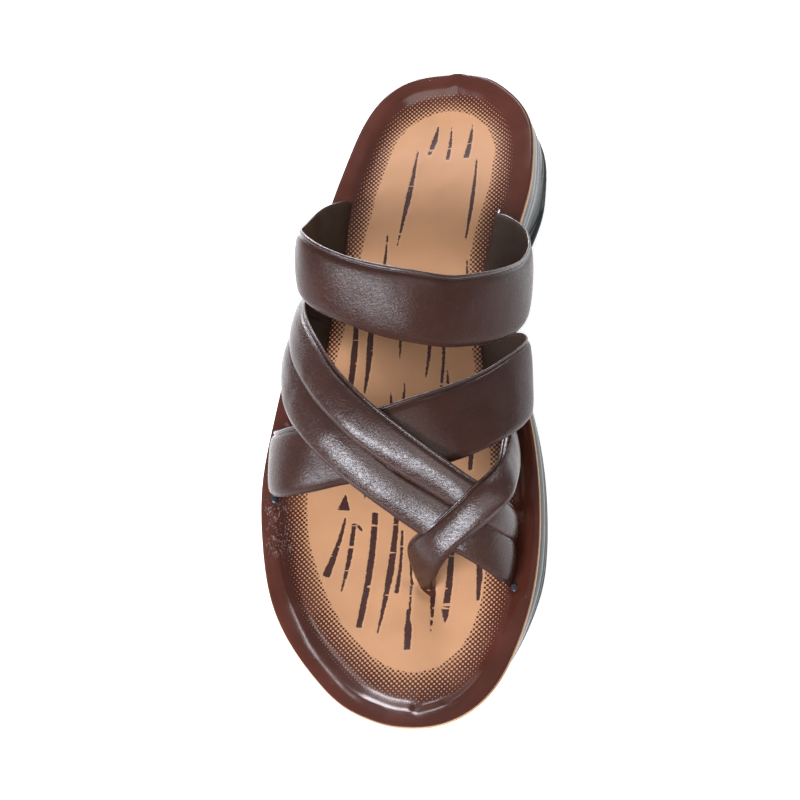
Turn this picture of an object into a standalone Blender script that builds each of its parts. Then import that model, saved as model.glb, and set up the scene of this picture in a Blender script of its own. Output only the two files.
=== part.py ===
"""Sport sandal for the right foot: moulded sole, two tread pads, board, dished footbed and straps.

Plan positions are given in millimetres as x, towards the inner side of the foot, and s, the distance
from the back of the footbed towards the toe. Heights are z above the ground.
"""
import bmesh
import bpy
import numpy as np

MM = 0.001
MERGE_DISTANCE = 1e-6
SHARP_ANGLE = 0.6
PROFILE_STEPS = 400
OUTLINE_STEPS = 2000
OUTLINE_WRAP = 4
END_CLEARANCE = 1.0

# Footbed, board and sole, in millimetres.
FOOTBED_LENGTH = 275.0
COVER_THICKNESS = 0.8
BOARD_THICKNESS = 1.5
TREAD_THICKNESS = 2.2
GAP = 0.3
STATIONS = 33
SPINE_BACK = 32.0
SPINE_FRONT = 228.0

# Straps, in millimetres.
STRAP_THICKNESS = 2.8
STRAP_CROWN = 0.8
STRAP_EDGE = 0.9
STRAP_CORNER = 0.4
ANCHOR_DEPTH = 1.9
SLOT_RISE = 2.2
SLOT_REACH = 5.0
STRIP_TUCK = 2.6
STEPS_PER_ROW = 2

# Edge of the footbed seen from above.
# columns: s, lateral x, medial x
OUTLINE = (
    (0.0, 2.5, 2.5),
    (1.2, -10.5, 13.5),
    (4.0, -17.5, 20.3),
    (9.0, -23.5, 26.6),
    (17.0, -29.2, 33.3),
    (28.0, -33.7, 37.9),
    (42.0, -37.3, 39.2),
    (60.0, -41.5, 38.3),
    (80.0, -46.3, 33.5),
    (104.0, -52.6, 30.2),
    (130.0, -58.2, 33.6),
    (155.0, -61.8, 39.8),
    (180.0, -63.6, 43.4),
    (205.0, -60.3, 44.2),
    (228.0, -53.4, 42.0),
    (246.0, -42.6, 37.3),
    (258.0, -32.2, 32.2),
    (267.0, -22.0, 25.2),
    (272.5, -10.8, 16.8),
    (274.6, -3.0, 9.5),
    (275.0, 3.0, 3.0),
)

# Side profile of the shoe.
# columns: s, height of the footbed's rim, height of the underside
PROFILE = (
    (-3.0, 28.0, 3.0),
    (8.0, 28.6, 1.4),
    (18.0, 29.0, 0.5),
    (28.0, 29.7, 0.0),
    (40.0, 31.0, 0.0),
    (54.0, 32.5, 0.0),
    (63.0, 32.9, 2.1),
    (73.0, 32.5, 4.0),
    (83.0, 31.3, 5.6),
    (92.0, 29.9, 6.8),
    (103.0, 27.8, 7.8),
    (112.0, 25.4, 6.2),
    (124.0, 22.9, 3.8),
    (134.0, 21.5, 2.2),
    (143.0, 20.9, 0.9),
    (150.0, 20.7, 0.0),
    (170.0, 20.7, 0.0),
    (184.0, 21.0, 1.6),
    (196.0, 21.9, 2.8),
    (210.0, 23.7, 4.8),
    (222.0, 25.7, 7.2),
    (234.0, 28.0, 10.0),
    (246.0, 30.6, 13.4),
    (258.0, 33.6, 17.6),
    (268.0, 36.6, 22.0),
    (275.0, 39.0, 25.0),
)

# Dish of the footbed: a flat rim, a soft step, then the bed.
# columns: distance in from the edge, drop below the rim
DISH = (
    (0.0, 0.5),
    (1.2, 0.0),
    (6.4, 0.1),
    (8.6, 0.9),
    (11.5, 2.6),
    (17.0, 3.4),
)
BED_DROP = 3.9
COVER_EDGE_ROUND = 0.3
BOARD_EDGE_IN = 0.2
FLAT_SHARE = 0.45

# Levels of the sole's side wall from its foot to its top: a lip, a rib or the waist's scoop, a crest,
# a second rib and the edge under the board.
# columns: share of the wall's height at heel, waist, arch, ball, toe
WALL_LEVELS = (
    (0.00, 0.00, 0.00, 0.00, 0.00),
    (0.05, 0.05, 0.05, 0.06, 0.06),
    (0.09, 0.09, 0.09, 0.10, 0.11),
    (0.30, 0.30, 0.17, 0.24, 0.24),
    (0.44, 0.50, 0.25, 0.39, 0.38),
    (0.50, 0.56, 0.30, 0.46, 0.47),
    (0.58, 0.64, 0.40, 0.52, 0.56),
    (0.66, 0.72, 0.53, 0.70, 0.70),
    (0.76, 0.80, 0.74, 0.86, 0.84),
    (0.86, 0.89, 0.89, 0.95, 0.94),
    (1.00, 1.00, 1.00, 1.00, 1.00),
)
# Swell of the wall outward from the footbed's edge, at the same levels.
# columns: swell at heel, waist, arch, ball, toe
WALL_SWELL = (
    (2.2, 0.6, -0.4, 0.8, -4.4),
    (2.8, 1.2, 0.3, 1.3, -3.8),
    (1.8, -0.6, -1.0, 0.1, -4.4),
    (1.9, -4.4, -2.6, 1.4, -3.4),
    (1.6, -2.2, -1.2, 0.4, -2.6),
    (1.5, 0.9, 0.9, 0.9, -2.1),
    (0.8, 0.5, 0.3, 0.2, -1.9),
    (1.4, 0.4, 0.9, 1.4, -1.2),
    (0.5, 0.3, 0.3, 1.1, -0.7),
    (0.9, 0.3, 0.3, 0.5, -0.3),
    (-0.2, -0.2, -0.2, -0.3, -0.5),
)
HEEL_S = 30.0
WAIST_S = 74.0
ARCH_S = 100.0
BALL_S = 138.0
BALL_END_S = 215.0
TOE_S = 262.0

# Tread pads under the sole, and the pockets moulded in them.
TREAD_INSET = 1.2
TREAD_BEVEL = 0.8
HEEL_PAD_END = 98.0
FRONT_PAD_START = 107.0
RECESS_DEPTH = 1.2
RECESS_LENGTH = 6.0
RECESS_BORDER = 13.0
HEEL_RECESSES = (15.0, 28.0, 52.0, 65.0, 78.0)
FRONT_RECESSES = (119.0, 132.0, 145.0, 177.0, 205.0, 218.0, 231.0, 244.0)
FLEX_NOTCH_S = 191.0
FLEX_NOTCH_LENGTH = 5.0
CUTTER_MARGIN = 6.0

# The outer face of each strap, one row for each section from the lateral slot to the medial slot.
# columns: rear edge x, s, z, then front edge x, s, z
INSTEP_ROWS = (
    (-41.0, 71.5, 45.5, -44.5, 96.5, 41.5),
    (-43.0, 86.0, 66.5, -46.0, 109.5, 58.0),
    (-38.5, 106.5, 83.5, -42.0, 126.0, 69.5),
    (-21.0, 120.0, 88.0, -22.0, 138.0, 73.0),
    (0.0, 126.0, 87.0, -3.0, 144.0, 71.0),
    (18.0, 126.0, 80.0, 14.0, 144.5, 65.0),
    (32.5, 116.5, 67.0, 30.0, 138.0, 54.0),
    (39.5, 101.0, 50.0, 38.5, 124.5, 40.5),
    (37.5, 82.5, 37.0, 34.5, 107.5, 31.0),
)
INSTEP_SLOTS = ((-35.5, 60.5, -39.0, 88.0), (26.0, 70.0, 21.5, 97.0))

REAR_STRIP_ROWS = (
    (-47.0, 101.5, 35.5, -50.0, 113.0, 33.0),
    (-46.5, 114.0, 50.0, -50.5, 124.5, 46.5),
    (-41.0, 127.5, 62.0, -47.5, 140.5, 57.5),
    (-28.0, 149.0, 70.5, -37.0, 159.5, 65.5),
    (-10.0, 168.0, 71.0, -20.0, 178.0, 66.5),
    (8.0, 181.5, 65.5, -2.0, 190.5, 59.0),
    (22.0, 190.5, 59.5, 13.0, 198.5, 53.5),
    (33.5, 195.0, 51.0, 28.0, 205.5, 48.0),
    (38.0, 193.5, 32.5, 37.0, 206.5, 33.0),
)
REAR_STRIP_SLOTS = ((-42.0, 96.5, -44.0, 112.0), (36.5, 191.0, 36.8, 205.7))

FRONT_STRIP_ROWS = (
    (-50.0, 113.0, 31.0, -52.5, 127.0, 28.5),
    (-50.5, 124.5, 44.5, -54.5, 137.5, 41.5),
    (-47.5, 140.0, 55.5, -51.5, 152.5, 51.0),
    (-37.0, 159.5, 63.5, -45.5, 167.5, 57.0),
    (-20.0, 177.5, 64.5, -30.0, 185.5, 58.0),
    (-2.0, 190.5, 57.0, -11.0, 199.0, 52.0),
    (13.0, 198.5, 51.5, 3.5, 208.0, 45.0),
    (28.0, 205.5, 46.0, 19.5, 215.5, 42.0),
    (37.0, 206.5, 31.0, 33.0, 220.5, 31.5),
)
FRONT_STRIP_SLOTS = ((-44.0, 113.0, -46.0, 128.0), (36.8, 206.3, 36.3, 221.0))

WIDE_ROWS = (
    (-58.5, 159.0, 28.0, -58.5, 186.0, 28.0),
    (-55.5, 165.5, 42.5, -54.5, 190.5, 39.5),
    (-46.0, 169.0, 54.5, -46.0, 193.5, 47.5),
    (-31.0, 170.5, 63.0, -32.0, 193.0, 52.0),
    (-12.0, 169.0, 68.0, -14.0, 191.5, 55.5),
    (8.0, 162.5, 67.5, 7.0, 188.5, 58.0),
    (25.0, 150.5, 57.5, 24.0, 181.5, 56.0),
    (36.5, 134.5, 43.0, 38.5, 169.0, 46.5),
    (37.0, 123.0, 29.5, 41.0, 156.0, 30.0),
)
WIDE_SLOTS = ((-56.0, 156.0, -57.5, 183.5), (22.3, 121.0, 24.5, 152.0))

LOOP_ROWS = (
    (37.0, 163.0, 27.0, 40.5, 179.5, 31.0),
    (36.5, 172.5, 44.0, 42.0, 184.5, 45.5),
    (34.0, 183.5, 57.0, 40.0, 194.5, 54.0),
    (26.0, 193.5, 58.5, 33.5, 203.5, 54.5),
    (15.0, 201.5, 53.0, 23.0, 211.0, 50.5),
    (6.0, 206.0, 47.0, 14.0, 216.5, 45.5),
    (-1.5, 208.5, 35.5, 6.5, 220.5, 35.5),
)
LOOP_SLOTS = ((36.0, 160.0, 37.2, 177.5), (-3.0, 208.0, 3.0, 222.0))

# Colour, roughness and metallic value of each material.
MATERIALS = {
    "leather": ((0.045, 0.022, 0.020), 0.42, 0.0),
    "cover": ((0.30, 0.145, 0.085), 0.38, 0.0),
    "board": ((0.66, 0.42, 0.24), 0.80, 0.0),
    "sole": ((0.012, 0.016, 0.019), 0.22, 0.0),
    "tread": ((0.016, 0.018, 0.019), 0.50, 0.0),
}


def clear_scene():
    for item in list(bpy.data.objects):
        bpy.data.objects.remove(item, do_unlink=True)


def make_material(name):
    colour, roughness, metallic = MATERIALS[name]
    material = bpy.data.materials.new(name)
    material.use_nodes = True
    shader = material.node_tree.nodes["Principled BSDF"]
    shader.inputs["Base Color"].default_value = (*colour, 1.0)
    shader.inputs["Roughness"].default_value = roughness
    shader.inputs["Metallic"].default_value = metallic
    return material


def spline(knots, values, query):
    """A natural cubic spline through values at the knots, read at each query."""
    knots = np.asarray(knots, float)
    values = np.asarray(values, float)
    step = np.diff(knots)
    slope = np.diff(values) / step
    count = len(knots)
    matrix = np.eye(count)
    right = np.zeros(count)
    for i in range(1, count - 1):
        matrix[i, i - 1:i + 2] = step[i - 1], 2 * (step[i - 1] + step[i]), step[i]
        right[i] = 6 * (slope[i] - slope[i - 1])
    bend = np.linalg.solve(matrix, right)
    i = np.clip(np.searchsorted(knots, query, side="right") - 1, 0, count - 2)
    h = step[i]
    a = (knots[i + 1] - query) / h
    b = (query - knots[i]) / h
    curve = (a ** 3 - a) * bend[i] + (b ** 3 - b) * bend[i + 1]
    return a * values[i] + b * values[i + 1] + curve * h ** 2 / 6


PROFILE_GRID = np.linspace(PROFILE[0][0], PROFILE[-1][0], PROFILE_STEPS)
RIM_GRID = spline([row[0] for row in PROFILE], [row[1] for row in PROFILE], PROFILE_GRID)


def rim_height(s):
    return np.interp(s, PROFILE_GRID, RIM_GRID)


def under_height(s):
    return np.interp(s, [row[0] for row in PROFILE], [row[2] for row in PROFILE])


def outline_branches():
    """The lateral and the medial side of the outline, each from heel to toe at the same s."""
    table = np.array(OUTLINE)
    around = np.concatenate([table[:, [1, 0]], table[-2:0:-1][:, [2, 0]]])
    wrapped = np.concatenate([around[-OUTLINE_WRAP:], around, around[:OUTLINE_WRAP + 1]])
    chord = np.concatenate([[0.0], np.cumsum(np.linalg.norm(np.diff(wrapped, axis=0), axis=1))])
    first = chord[OUTLINE_WRAP]
    last = chord[OUTLINE_WRAP + len(around)]
    at = np.linspace(first, last, OUTLINE_STEPS + 1)[:-1]
    x = spline(chord, wrapped[:, 0], at)
    s = spline(chord, wrapped[:, 1], at)
    heel = int(np.argmin(s))
    x = np.roll(x, -heel)
    s = np.roll(s, -heel)
    toe = int(np.argmax(s))
    lateral = np.stack([x[:toe + 1], s[:toe + 1]], axis=1)
    medial = np.stack([np.append(x[toe:], x[0]), np.append(s[toe:], s[0])], axis=1)[::-1]
    travel = np.concatenate([[0.0], np.cumsum(np.linalg.norm(np.diff(lateral, axis=0), axis=1))])
    stations = np.interp(np.linspace(0.0, travel[-1], STATIONS + 1), travel, lateral[:, 1])
    x_lateral = np.interp(stations, lateral[:, 1], lateral[:, 0])
    x_medial = np.interp(stations, medial[:, 1], medial[:, 0])
    return stations, x_lateral, x_medial


def side_normals(stations, x_side, outward):
    """Outward normals along one side of the outline, straight back at the heel and ahead at the toe."""
    slope_x = np.gradient(x_side)
    slope_s = np.gradient(stations)
    length = np.hypot(slope_x, slope_s)
    normals = np.stack([outward * slope_s / length, -outward * slope_x / length], axis=1)
    normals[0] = (0.0, -1.0)
    normals[-1] = (0.0, 1.0)
    return normals


class Plan:
    """The closed outline as points with outward normals, and a spine down the middle.

    With first_s or last_s, that end is cut off square. It gains a point in the middle that stays put.
    """

    def __init__(self, first_s=None, last_s=None):
        stations, x_lateral, x_medial = outline_branches()
        sides = [
            np.column_stack([x_lateral, stations, side_normals(stations, x_lateral, -1.0)]),
            np.column_stack([x_medial, stations, side_normals(stations, x_medial, 1.0)]),
        ]
        if first_s is not None:
            sides = cut_end(sides, first_s, front=False)
        if last_s is not None:
            sides = cut_end(sides, last_s, front=True)
        lateral, medial = sides
        count = len(lateral)
        loop = np.concatenate([lateral, medial[-2:0:-1]])
        self.points = loop[:, :2]
        self.normals = loop[:, 2:]
        spine_s = np.clip(lateral[:, 1], SPINE_BACK, SPINE_FRONT)
        spine_s = np.clip(spine_s, lateral[2, 1], lateral[-3, 1])
        middle = 0.5 * (lateral[:, 0] + medial[:, 0])
        spine = np.stack([np.interp(spine_s, lateral[:, 1], middle), spine_s], axis=1)
        back = np.arange(count - 2, 0, -1)
        self.spine = np.concatenate([spine, spine[back]])
        self.partner = np.concatenate([np.arange(count), back])

    def offset(self, distance):
        return self.points + self.normals * np.reshape(distance, (-1, 1))

    def towards_spine(self, inset, share):
        edge = self.offset(-inset)
        return edge + (self.spine - edge) * share


def cut_end(sides, end_s, front):
    """Both sides of the outline without what lies beyond end_s, closed by a point in the middle."""
    corners = []
    for side in sides:
        corner = np.array([np.interp(end_s, side[:, 1], side[:, k]) for k in range(4)])
        corner[2:] = (np.sign(corner[2]), 0.0)
        corners.append(corner)
    middle = np.array([0.5 * (corners[0][0] + corners[1][0]), end_s, 0.0, 0.0])
    cut = []
    for side, corner in zip(sides, corners):
        if front:
            kept = side[side[:, 1] < end_s - END_CLEARANCE]
            cut.append(np.vstack([kept, corner, middle]))
        else:
            kept = side[side[:, 1] > end_s + END_CLEARANCE]
            cut.append(np.vstack([middle, corner, kept]))
    return cut


def raise_to(plan_points, z):
    return np.concatenate([plan_points, np.reshape(z, (-1, 1))], axis=1)


def new_object(name, vertices, faces, material):
    """An object from vertices in x, s, z millimetres, with its faces turned outwards."""
    world = np.stack([vertices[:, 0], FOOTBED_LENGTH / 2 - vertices[:, 1], vertices[:, 2]], axis=1) * MM
    mesh = bpy.data.meshes.new(name)
    mesh.from_pydata([tuple(v) for v in world], [], faces)
    build = bmesh.new()
    build.from_mesh(mesh)
    bmesh.ops.remove_doubles(build, verts=build.verts, dist=MERGE_DISTANCE)
    bmesh.ops.dissolve_degenerate(build, edges=build.edges, dist=MERGE_DISTANCE)
    bmesh.ops.recalc_face_normals(build, faces=build.faces)
    if build.calc_volume(signed=True) < 0:
        bmesh.ops.reverse_faces(build, faces=build.faces)
    build.to_mesh(mesh)
    build.free()
    mesh.shade_smooth()
    mesh.set_sharp_from_angle(angle=SHARP_ANGLE)
    mesh.materials.append(material)
    item = bpy.data.objects.new(name, mesh)
    bpy.context.scene.collection.objects.link(item)
    return item


def stacked_shell(name, plan, rings, spine_z, material):
    """A closed body from rings that run from the underside's middle, round the edge, to the top's."""
    size = len(plan.points)
    vertices = np.concatenate(rings)
    faces = []
    for k in range(len(rings) - 1):
        for i in range(size):
            j = (i + 1) % size
            faces.append((k * size + i, k * size + j, (k + 1) * size + j, (k + 1) * size + i))
    partner = plan.partner
    top = int(partner.max()) + 1
    for k, z_of in ((0, spine_z[0]), (len(rings) - 1, spine_z[1])):
        base = len(vertices)
        ends = raise_to(plan.spine[:top], z_of(plan.spine[:top, 1]))
        vertices = np.concatenate([vertices, ends])
        for i in range(size):
            j = (i + 1) % size
            a = base + int(partner[i])
            b = base + int(partner[j])
            same = np.allclose(vertices[a], vertices[b])
            corners = (k * size + i, k * size + j, a) if same else (k * size + i, k * size + j, b, a)
            faces.append(corners)
    return new_object(name, vertices, faces, material)


def bed_height(plan_points, drop):
    return rim_height(plan_points[:, 1]) - drop


def dish_rings(plan, depth, start=0):
    """The footbed's surface, lowered by depth, from its edge inwards."""
    rings = []
    for inset, drop in DISH[start:]:
        flat = plan.offset(-inset)
        rings.append(raise_to(flat, bed_height(flat, drop + depth)))
    inset, drop = DISH[-1]
    flat = plan.towards_spine(inset, 0.5)
    rings.append(raise_to(flat, bed_height(flat, 0.5 * (drop + BED_DROP) + depth)))
    return rings


def bed_middle(depth):
    return lambda s: rim_height(s) - BED_DROP - depth


def layer(name, plan, top_depth, thickness, edge_in, material):
    """A sheet that follows the dish of the footbed."""
    upper = dish_rings(plan, top_depth)
    lower = dish_rings(plan, top_depth + thickness)
    edge = plan.offset(-edge_in)
    upper[0] = raise_to(edge, rim_height(plan.points[:, 1]) - top_depth - COVER_EDGE_ROUND)
    lower[0] = raise_to(edge, rim_height(plan.points[:, 1]) - top_depth - thickness)
    rings = lower[::-1] + upper
    spine_z = (bed_middle(top_depth + thickness), bed_middle(top_depth))
    return stacked_shell(name, plan, rings, spine_z, material)


def along_wall(s, row):
    """A value of one level of the wall at s, blended between heel, waist, arch, ball and toe."""
    heel, waist, arch, ball, toe = row
    at = (HEEL_S, WAIST_S, ARCH_S, BALL_S, BALL_END_S, TOE_S)
    return np.interp(s, at, (heel, waist, arch, ball, ball, toe))


def midsole(plan, material):
    """The moulded sole above the tread, with its lip, ribs, waist scoop and the bed on top."""
    depth = COVER_THICKNESS + BOARD_THICKNESS + 2 * GAP
    low = TREAD_THICKNESS + GAP
    edge_s = plan.points[:, 1]
    top_z = rim_height(edge_s) - depth - DISH[1][1]
    foot = plan.offset(along_wall(edge_s, WALL_SWELL[0]))
    inner = foot + (plan.spine - foot) * FLAT_SHARE
    rings = [raise_to(inner, under_height(inner[:, 1]) + low)]
    for levels, swells in zip(WALL_LEVELS, WALL_SWELL):
        flat = plan.offset(along_wall(edge_s, swells))
        bottom_z = under_height(flat[:, 1]) + low
        rings.append(raise_to(flat, bottom_z + (top_z - bottom_z) * along_wall(edge_s, levels)))
    rings += dish_rings(plan, depth, start=1)
    spine_z = (lambda s: under_height(s) + low, bed_middle(depth))
    return stacked_shell("midsole", plan, rings, spine_z, material)


def tread_pad(name, plan, material):
    """A tread pad that follows the underside of the sole, bevelled round its foot."""
    edge_swell = along_wall(plan.points[:, 1], WALL_SWELL[0]) - TREAD_INSET
    edge = plan.offset(edge_swell)
    foot = plan.offset(edge_swell - TREAD_BEVEL)
    foot_inner = foot + (plan.spine - foot) * FLAT_SHARE
    top_inner = edge + (plan.spine - edge) * FLAT_SHARE
    levels = (
        (foot_inner, 0.0),
        (foot, 0.0),
        (edge, TREAD_BEVEL),
        (edge, TREAD_THICKNESS),
        (top_inner, TREAD_THICKNESS),
    )
    rings = [raise_to(flat, under_height(flat[:, 1]) + rise) for flat, rise in levels]
    spine_z = (under_height, lambda s: under_height(s) + TREAD_THICKNESS)
    return stacked_shell(name, plan, rings, spine_z, material)


def cutter_box(name, low, high):
    """A hidden box between two corners in x, s, z millimetres."""
    across, along, upward = zip(low, high)
    corners = np.array([(x, s, z) for x in across for s in along for z in upward])
    faces = ((0, 1, 3, 2), (4, 6, 7, 5), (0, 4, 5, 1), (2, 3, 7, 6), (0, 2, 6, 4), (1, 5, 7, 3))
    cutter = new_object(name, corners, faces, bpy.data.materials["tread"])
    hide_tool(cutter)
    return cutter


def hide_tool(item):
    item.hide_render = True
    item.display_type = "WIRE"


def boolean(target, tool, operation):
    modifier = target.modifiers.new(tool.name, "BOOLEAN")
    modifier.operation = operation
    modifier.solver = "EXACT"
    modifier.object = tool


def cut_across(pad, name, s, length, sides):
    """A pocket or notch cut into a pad from below, between two sideways limits."""
    floor = float(under_height(s))
    low = (sides[0], s - length / 2, floor - CUTTER_MARGIN)
    high = (sides[1], s + length / 2, floor + RECESS_DEPTH)
    boolean(pad, cutter_box(name, low, high), "DIFFERENCE")


def cut_recesses(heel_pad, front_pad):
    """Shallow pockets across each pad, and the flex notch in front of the ball."""
    stations, x_lateral, x_medial = outline_branches()
    for pad, places in ((heel_pad, HEEL_RECESSES), (front_pad, FRONT_RECESSES)):
        for s in places:
            lateral = np.interp(s, stations, x_lateral) + RECESS_BORDER
            medial = np.interp(s, stations, x_medial) - RECESS_BORDER
            cut_across(pad, f"recess_{s:.0f}", s, RECESS_LENGTH, (lateral, medial))
    beyond = FOOTBED_LENGTH / 2
    cut_across(front_pad, "flex_notch", FLEX_NOTCH_S, FLEX_NOTCH_LENGTH, (-beyond, beyond))


def footbed_drop(x, s):
    """How far the footbed lies below its rim at a plan point, from its distance to the edge."""
    stations, x_lateral, x_medial = outline_branches()
    inset = min(x - np.interp(s, stations, x_lateral), np.interp(s, stations, x_medial) - x)
    table = np.array(DISH)
    return float(np.interp(inset, table[:, 0], table[:, 1], right=BED_DROP))


def slot_rows(slot):
    """Two sections at one end of a strap: its buried end, then the place where it leaves the footbed."""
    rear_x, rear_s, front_x, front_s = slot
    rows = []
    for rise in (-ANCHOR_DEPTH, SLOT_RISE):
        row = []
        for x, s in ((rear_x, rear_s), (front_x, front_s)):
            row += [x, s, float(rim_height(s)) - footbed_drop(x, s) + rise]
        rows.append(row)
    return rows


def strap_sections(rows, slots, tuck=0.0, grow=0.0):
    """Closed sections along a strap: a crowned outer face, round edges and a flat inner face.

    tuck widens the strap behind its rear edge, where another strip covers it.
    """
    table = np.array(slot_rows(slots[0]) + list(rows) + slot_rows(slots[1])[::-1])
    middle = 0.5 * (table[:, :3] + table[:, 3:])
    pace = np.sqrt(np.linalg.norm(np.diff(middle, axis=0), axis=1))
    knots = np.concatenate([[0.0], np.cumsum(pace)])
    count = STEPS_PER_ROW * (len(table) - 1) + 1
    at = np.interp(np.linspace(0, len(table) - 1, count), np.arange(len(table)), knots)
    edges = np.stack([spline(knots, table[:, k], at) for k in range(6)], axis=1)
    across = edges[:, 3:] - edges[:, :3]
    width = np.linalg.norm(across, axis=1)
    across /= width[:, None]
    rear = edges[:, :3] - across * tuck
    middle = 0.5 * (rear + edges[:, 3:])
    width = width + tuck
    along = np.gradient(middle, axis=0)
    along /= np.linalg.norm(along, axis=1)[:, None]
    outward = np.cross(across, along)
    outward /= np.linalg.norm(outward, axis=1)[:, None]
    under_arch = np.array([np.mean(table[:, 0]), np.mean(table[:, 1]), np.min(table[:, 2])])
    outward *= np.sign(np.sum(outward * (middle - under_arch)))
    sections = []
    for k in range(count):
        shape = strap_shape(width[k] / 2 + grow, grow)
        sections.append([middle[k] + across[k] * u + outward[k] * h for u, h in shape])
    return np.array(sections), along


def strap_shape(half, grow):
    """The section across a strap as places across it and heights from its outer face."""
    low = -STRAP_THICKNESS - grow
    side = grow - STRAP_CROWN - STRAP_EDGE
    foot = half - STRAP_CORNER
    shape = []
    for share in (-1.0, -0.5, 0.0, 0.5, 1.0):
        shape.append((share * (half - STRAP_EDGE), grow - STRAP_CROWN * share * share))
    shape += [(half, side), (foot, low), (0.0, low), (-foot, low), (-half, side)]
    return shape


def tube(name, sections, material):
    """A closed body through a row of sections, capped at both ends."""
    count, size, _ = sections.shape
    faces = [tuple(range(size)), tuple(range((count - 1) * size, count * size))]
    for k in range(count - 1):
        for i in range(size):
            j = (i + 1) % size
            faces.append((k * size + i, k * size + j, (k + 1) * size + j, (k + 1) * size + i))
    return new_object(name, sections.reshape(-1, 3), faces, material)


def slot_cutters(name, rows, slots, tuck, material):
    """Two short cutters, one for each end of a strap, a little larger than the strap itself."""
    sections, along = strap_sections(rows, slots, tuck, GAP)
    kept = STEPS_PER_ROW + 2
    lateral = np.concatenate([sections[:1] - along[0] * SLOT_REACH, sections[:kept]])
    medial = np.concatenate([sections[-kept:], sections[-1:] + along[-1] * SLOT_REACH])
    cutters = []
    for end, part in (("lateral", lateral), ("medial", medial)):
        cutter = tube(f"{name}_{end}_slot", part, material)
        hide_tool(cutter)
        cutters.append(cutter)
    return cutters


def centre_on_origin(items):
    """Moves the shoe so that its origin is under the middle of its box, on the ground."""
    bpy.context.view_layer.update()
    corners = np.array([item.matrix_world @ v.co for item in items for v in item.data.vertices])
    low = corners.min(axis=0)
    high = corners.max(axis=0)
    shift = (-(low[0] + high[0]) / 2, -(low[1] + high[1]) / 2, -low[2])
    for item in bpy.data.objects:
        item.location = shift


def build():
    clear_scene()
    materials = {name: make_material(name) for name in MATERIALS}
    plan = Plan()
    cover = layer("footbed_cover", plan, 0.0, COVER_THICKNESS, 0.0, materials["cover"])
    board_top = COVER_THICKNESS + GAP
    board = layer("insole_board", plan, board_top, BOARD_THICKNESS, BOARD_EDGE_IN, materials["board"])
    sole = midsole(plan, materials["sole"])
    heel_pad = tread_pad("tread_heel", Plan(last_s=HEEL_PAD_END), materials["tread"])
    front_pad = tread_pad("tread_forefoot", Plan(first_s=FRONT_PAD_START), materials["tread"])
    cut_recesses(heel_pad, front_pad)

    leather = materials["leather"]
    straps = (
        ("instep_strap", INSTEP_ROWS, INSTEP_SLOTS, 0.0),
        ("vamp_straps", REAR_STRIP_ROWS, REAR_STRIP_SLOTS, 0.0),
        ("front_strip", FRONT_STRIP_ROWS, FRONT_STRIP_SLOTS, STRIP_TUCK),
        ("wide_strap", WIDE_ROWS, WIDE_SLOTS, 0.0),
        ("toe_loop", LOOP_ROWS, LOOP_SLOTS, 0.0),
    )
    made = [tube(name, strap_sections(rows, slots, tuck)[0], leather) for name, rows, slots, tuck in straps]
    instep, vamp = made[:2]
    for crossing in made[2:]:
        hide_tool(crossing)
        boolean(vamp, crossing, "UNION")
    for name, rows, slots, tuck in straps:
        for cutter in slot_cutters(name, rows, slots, tuck, leather):
            boolean(cover, cutter, "DIFFERENCE")
            boolean(board, cutter, "DIFFERENCE")
    centre_on_origin((cover, board, sole, heel_pad, front_pad, instep, vamp))


build()
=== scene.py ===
"""Looks of a right-foot strap sandal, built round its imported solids.

Plan positions are in millimetres as x, towards the inner side of the foot, and s, the distance from
the back of the footbed towards the toe. Heights are z above the ground. to_world() turns them into the
frame's metres.
"""
import math

import bmesh
import bpy
import numpy as np
from mathutils import Matrix, Vector


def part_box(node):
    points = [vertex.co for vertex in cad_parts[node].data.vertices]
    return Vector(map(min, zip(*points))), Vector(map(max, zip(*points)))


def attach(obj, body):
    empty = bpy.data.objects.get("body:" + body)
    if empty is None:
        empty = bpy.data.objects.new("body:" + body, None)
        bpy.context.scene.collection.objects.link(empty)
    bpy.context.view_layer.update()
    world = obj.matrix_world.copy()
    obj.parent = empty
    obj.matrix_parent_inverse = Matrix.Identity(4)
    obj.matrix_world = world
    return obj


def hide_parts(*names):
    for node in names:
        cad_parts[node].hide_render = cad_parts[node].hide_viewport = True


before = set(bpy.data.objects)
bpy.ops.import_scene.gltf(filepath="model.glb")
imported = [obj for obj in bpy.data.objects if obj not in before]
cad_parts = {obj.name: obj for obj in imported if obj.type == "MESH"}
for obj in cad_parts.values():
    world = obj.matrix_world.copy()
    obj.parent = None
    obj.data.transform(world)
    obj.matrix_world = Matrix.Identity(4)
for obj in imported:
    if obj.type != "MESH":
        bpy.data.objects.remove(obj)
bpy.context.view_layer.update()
MM = 0.001

# ---------------------------------------------------------------- sizes of the footbed, board and sole
COVER_THICKNESS = 0.8
BOARD_THICKNESS = 1.5
TREAD_THICKNESS = 2.2
GAP = 0.3
# How far the board's edge stands out past the cover's.
BOARD_EDGE_OUT = 0.3
SPINE_BACK = 32.0
SPINE_FRONT = 228.0
BED_DROP = 3.9
FLAT_SHARE = 0.45
# Points along each side of the outline, by piece.
STATIONS = 190
COVER_STATIONS = 330
SOLE_STATIONS = 240
TREAD_STATIONS = 400

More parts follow.
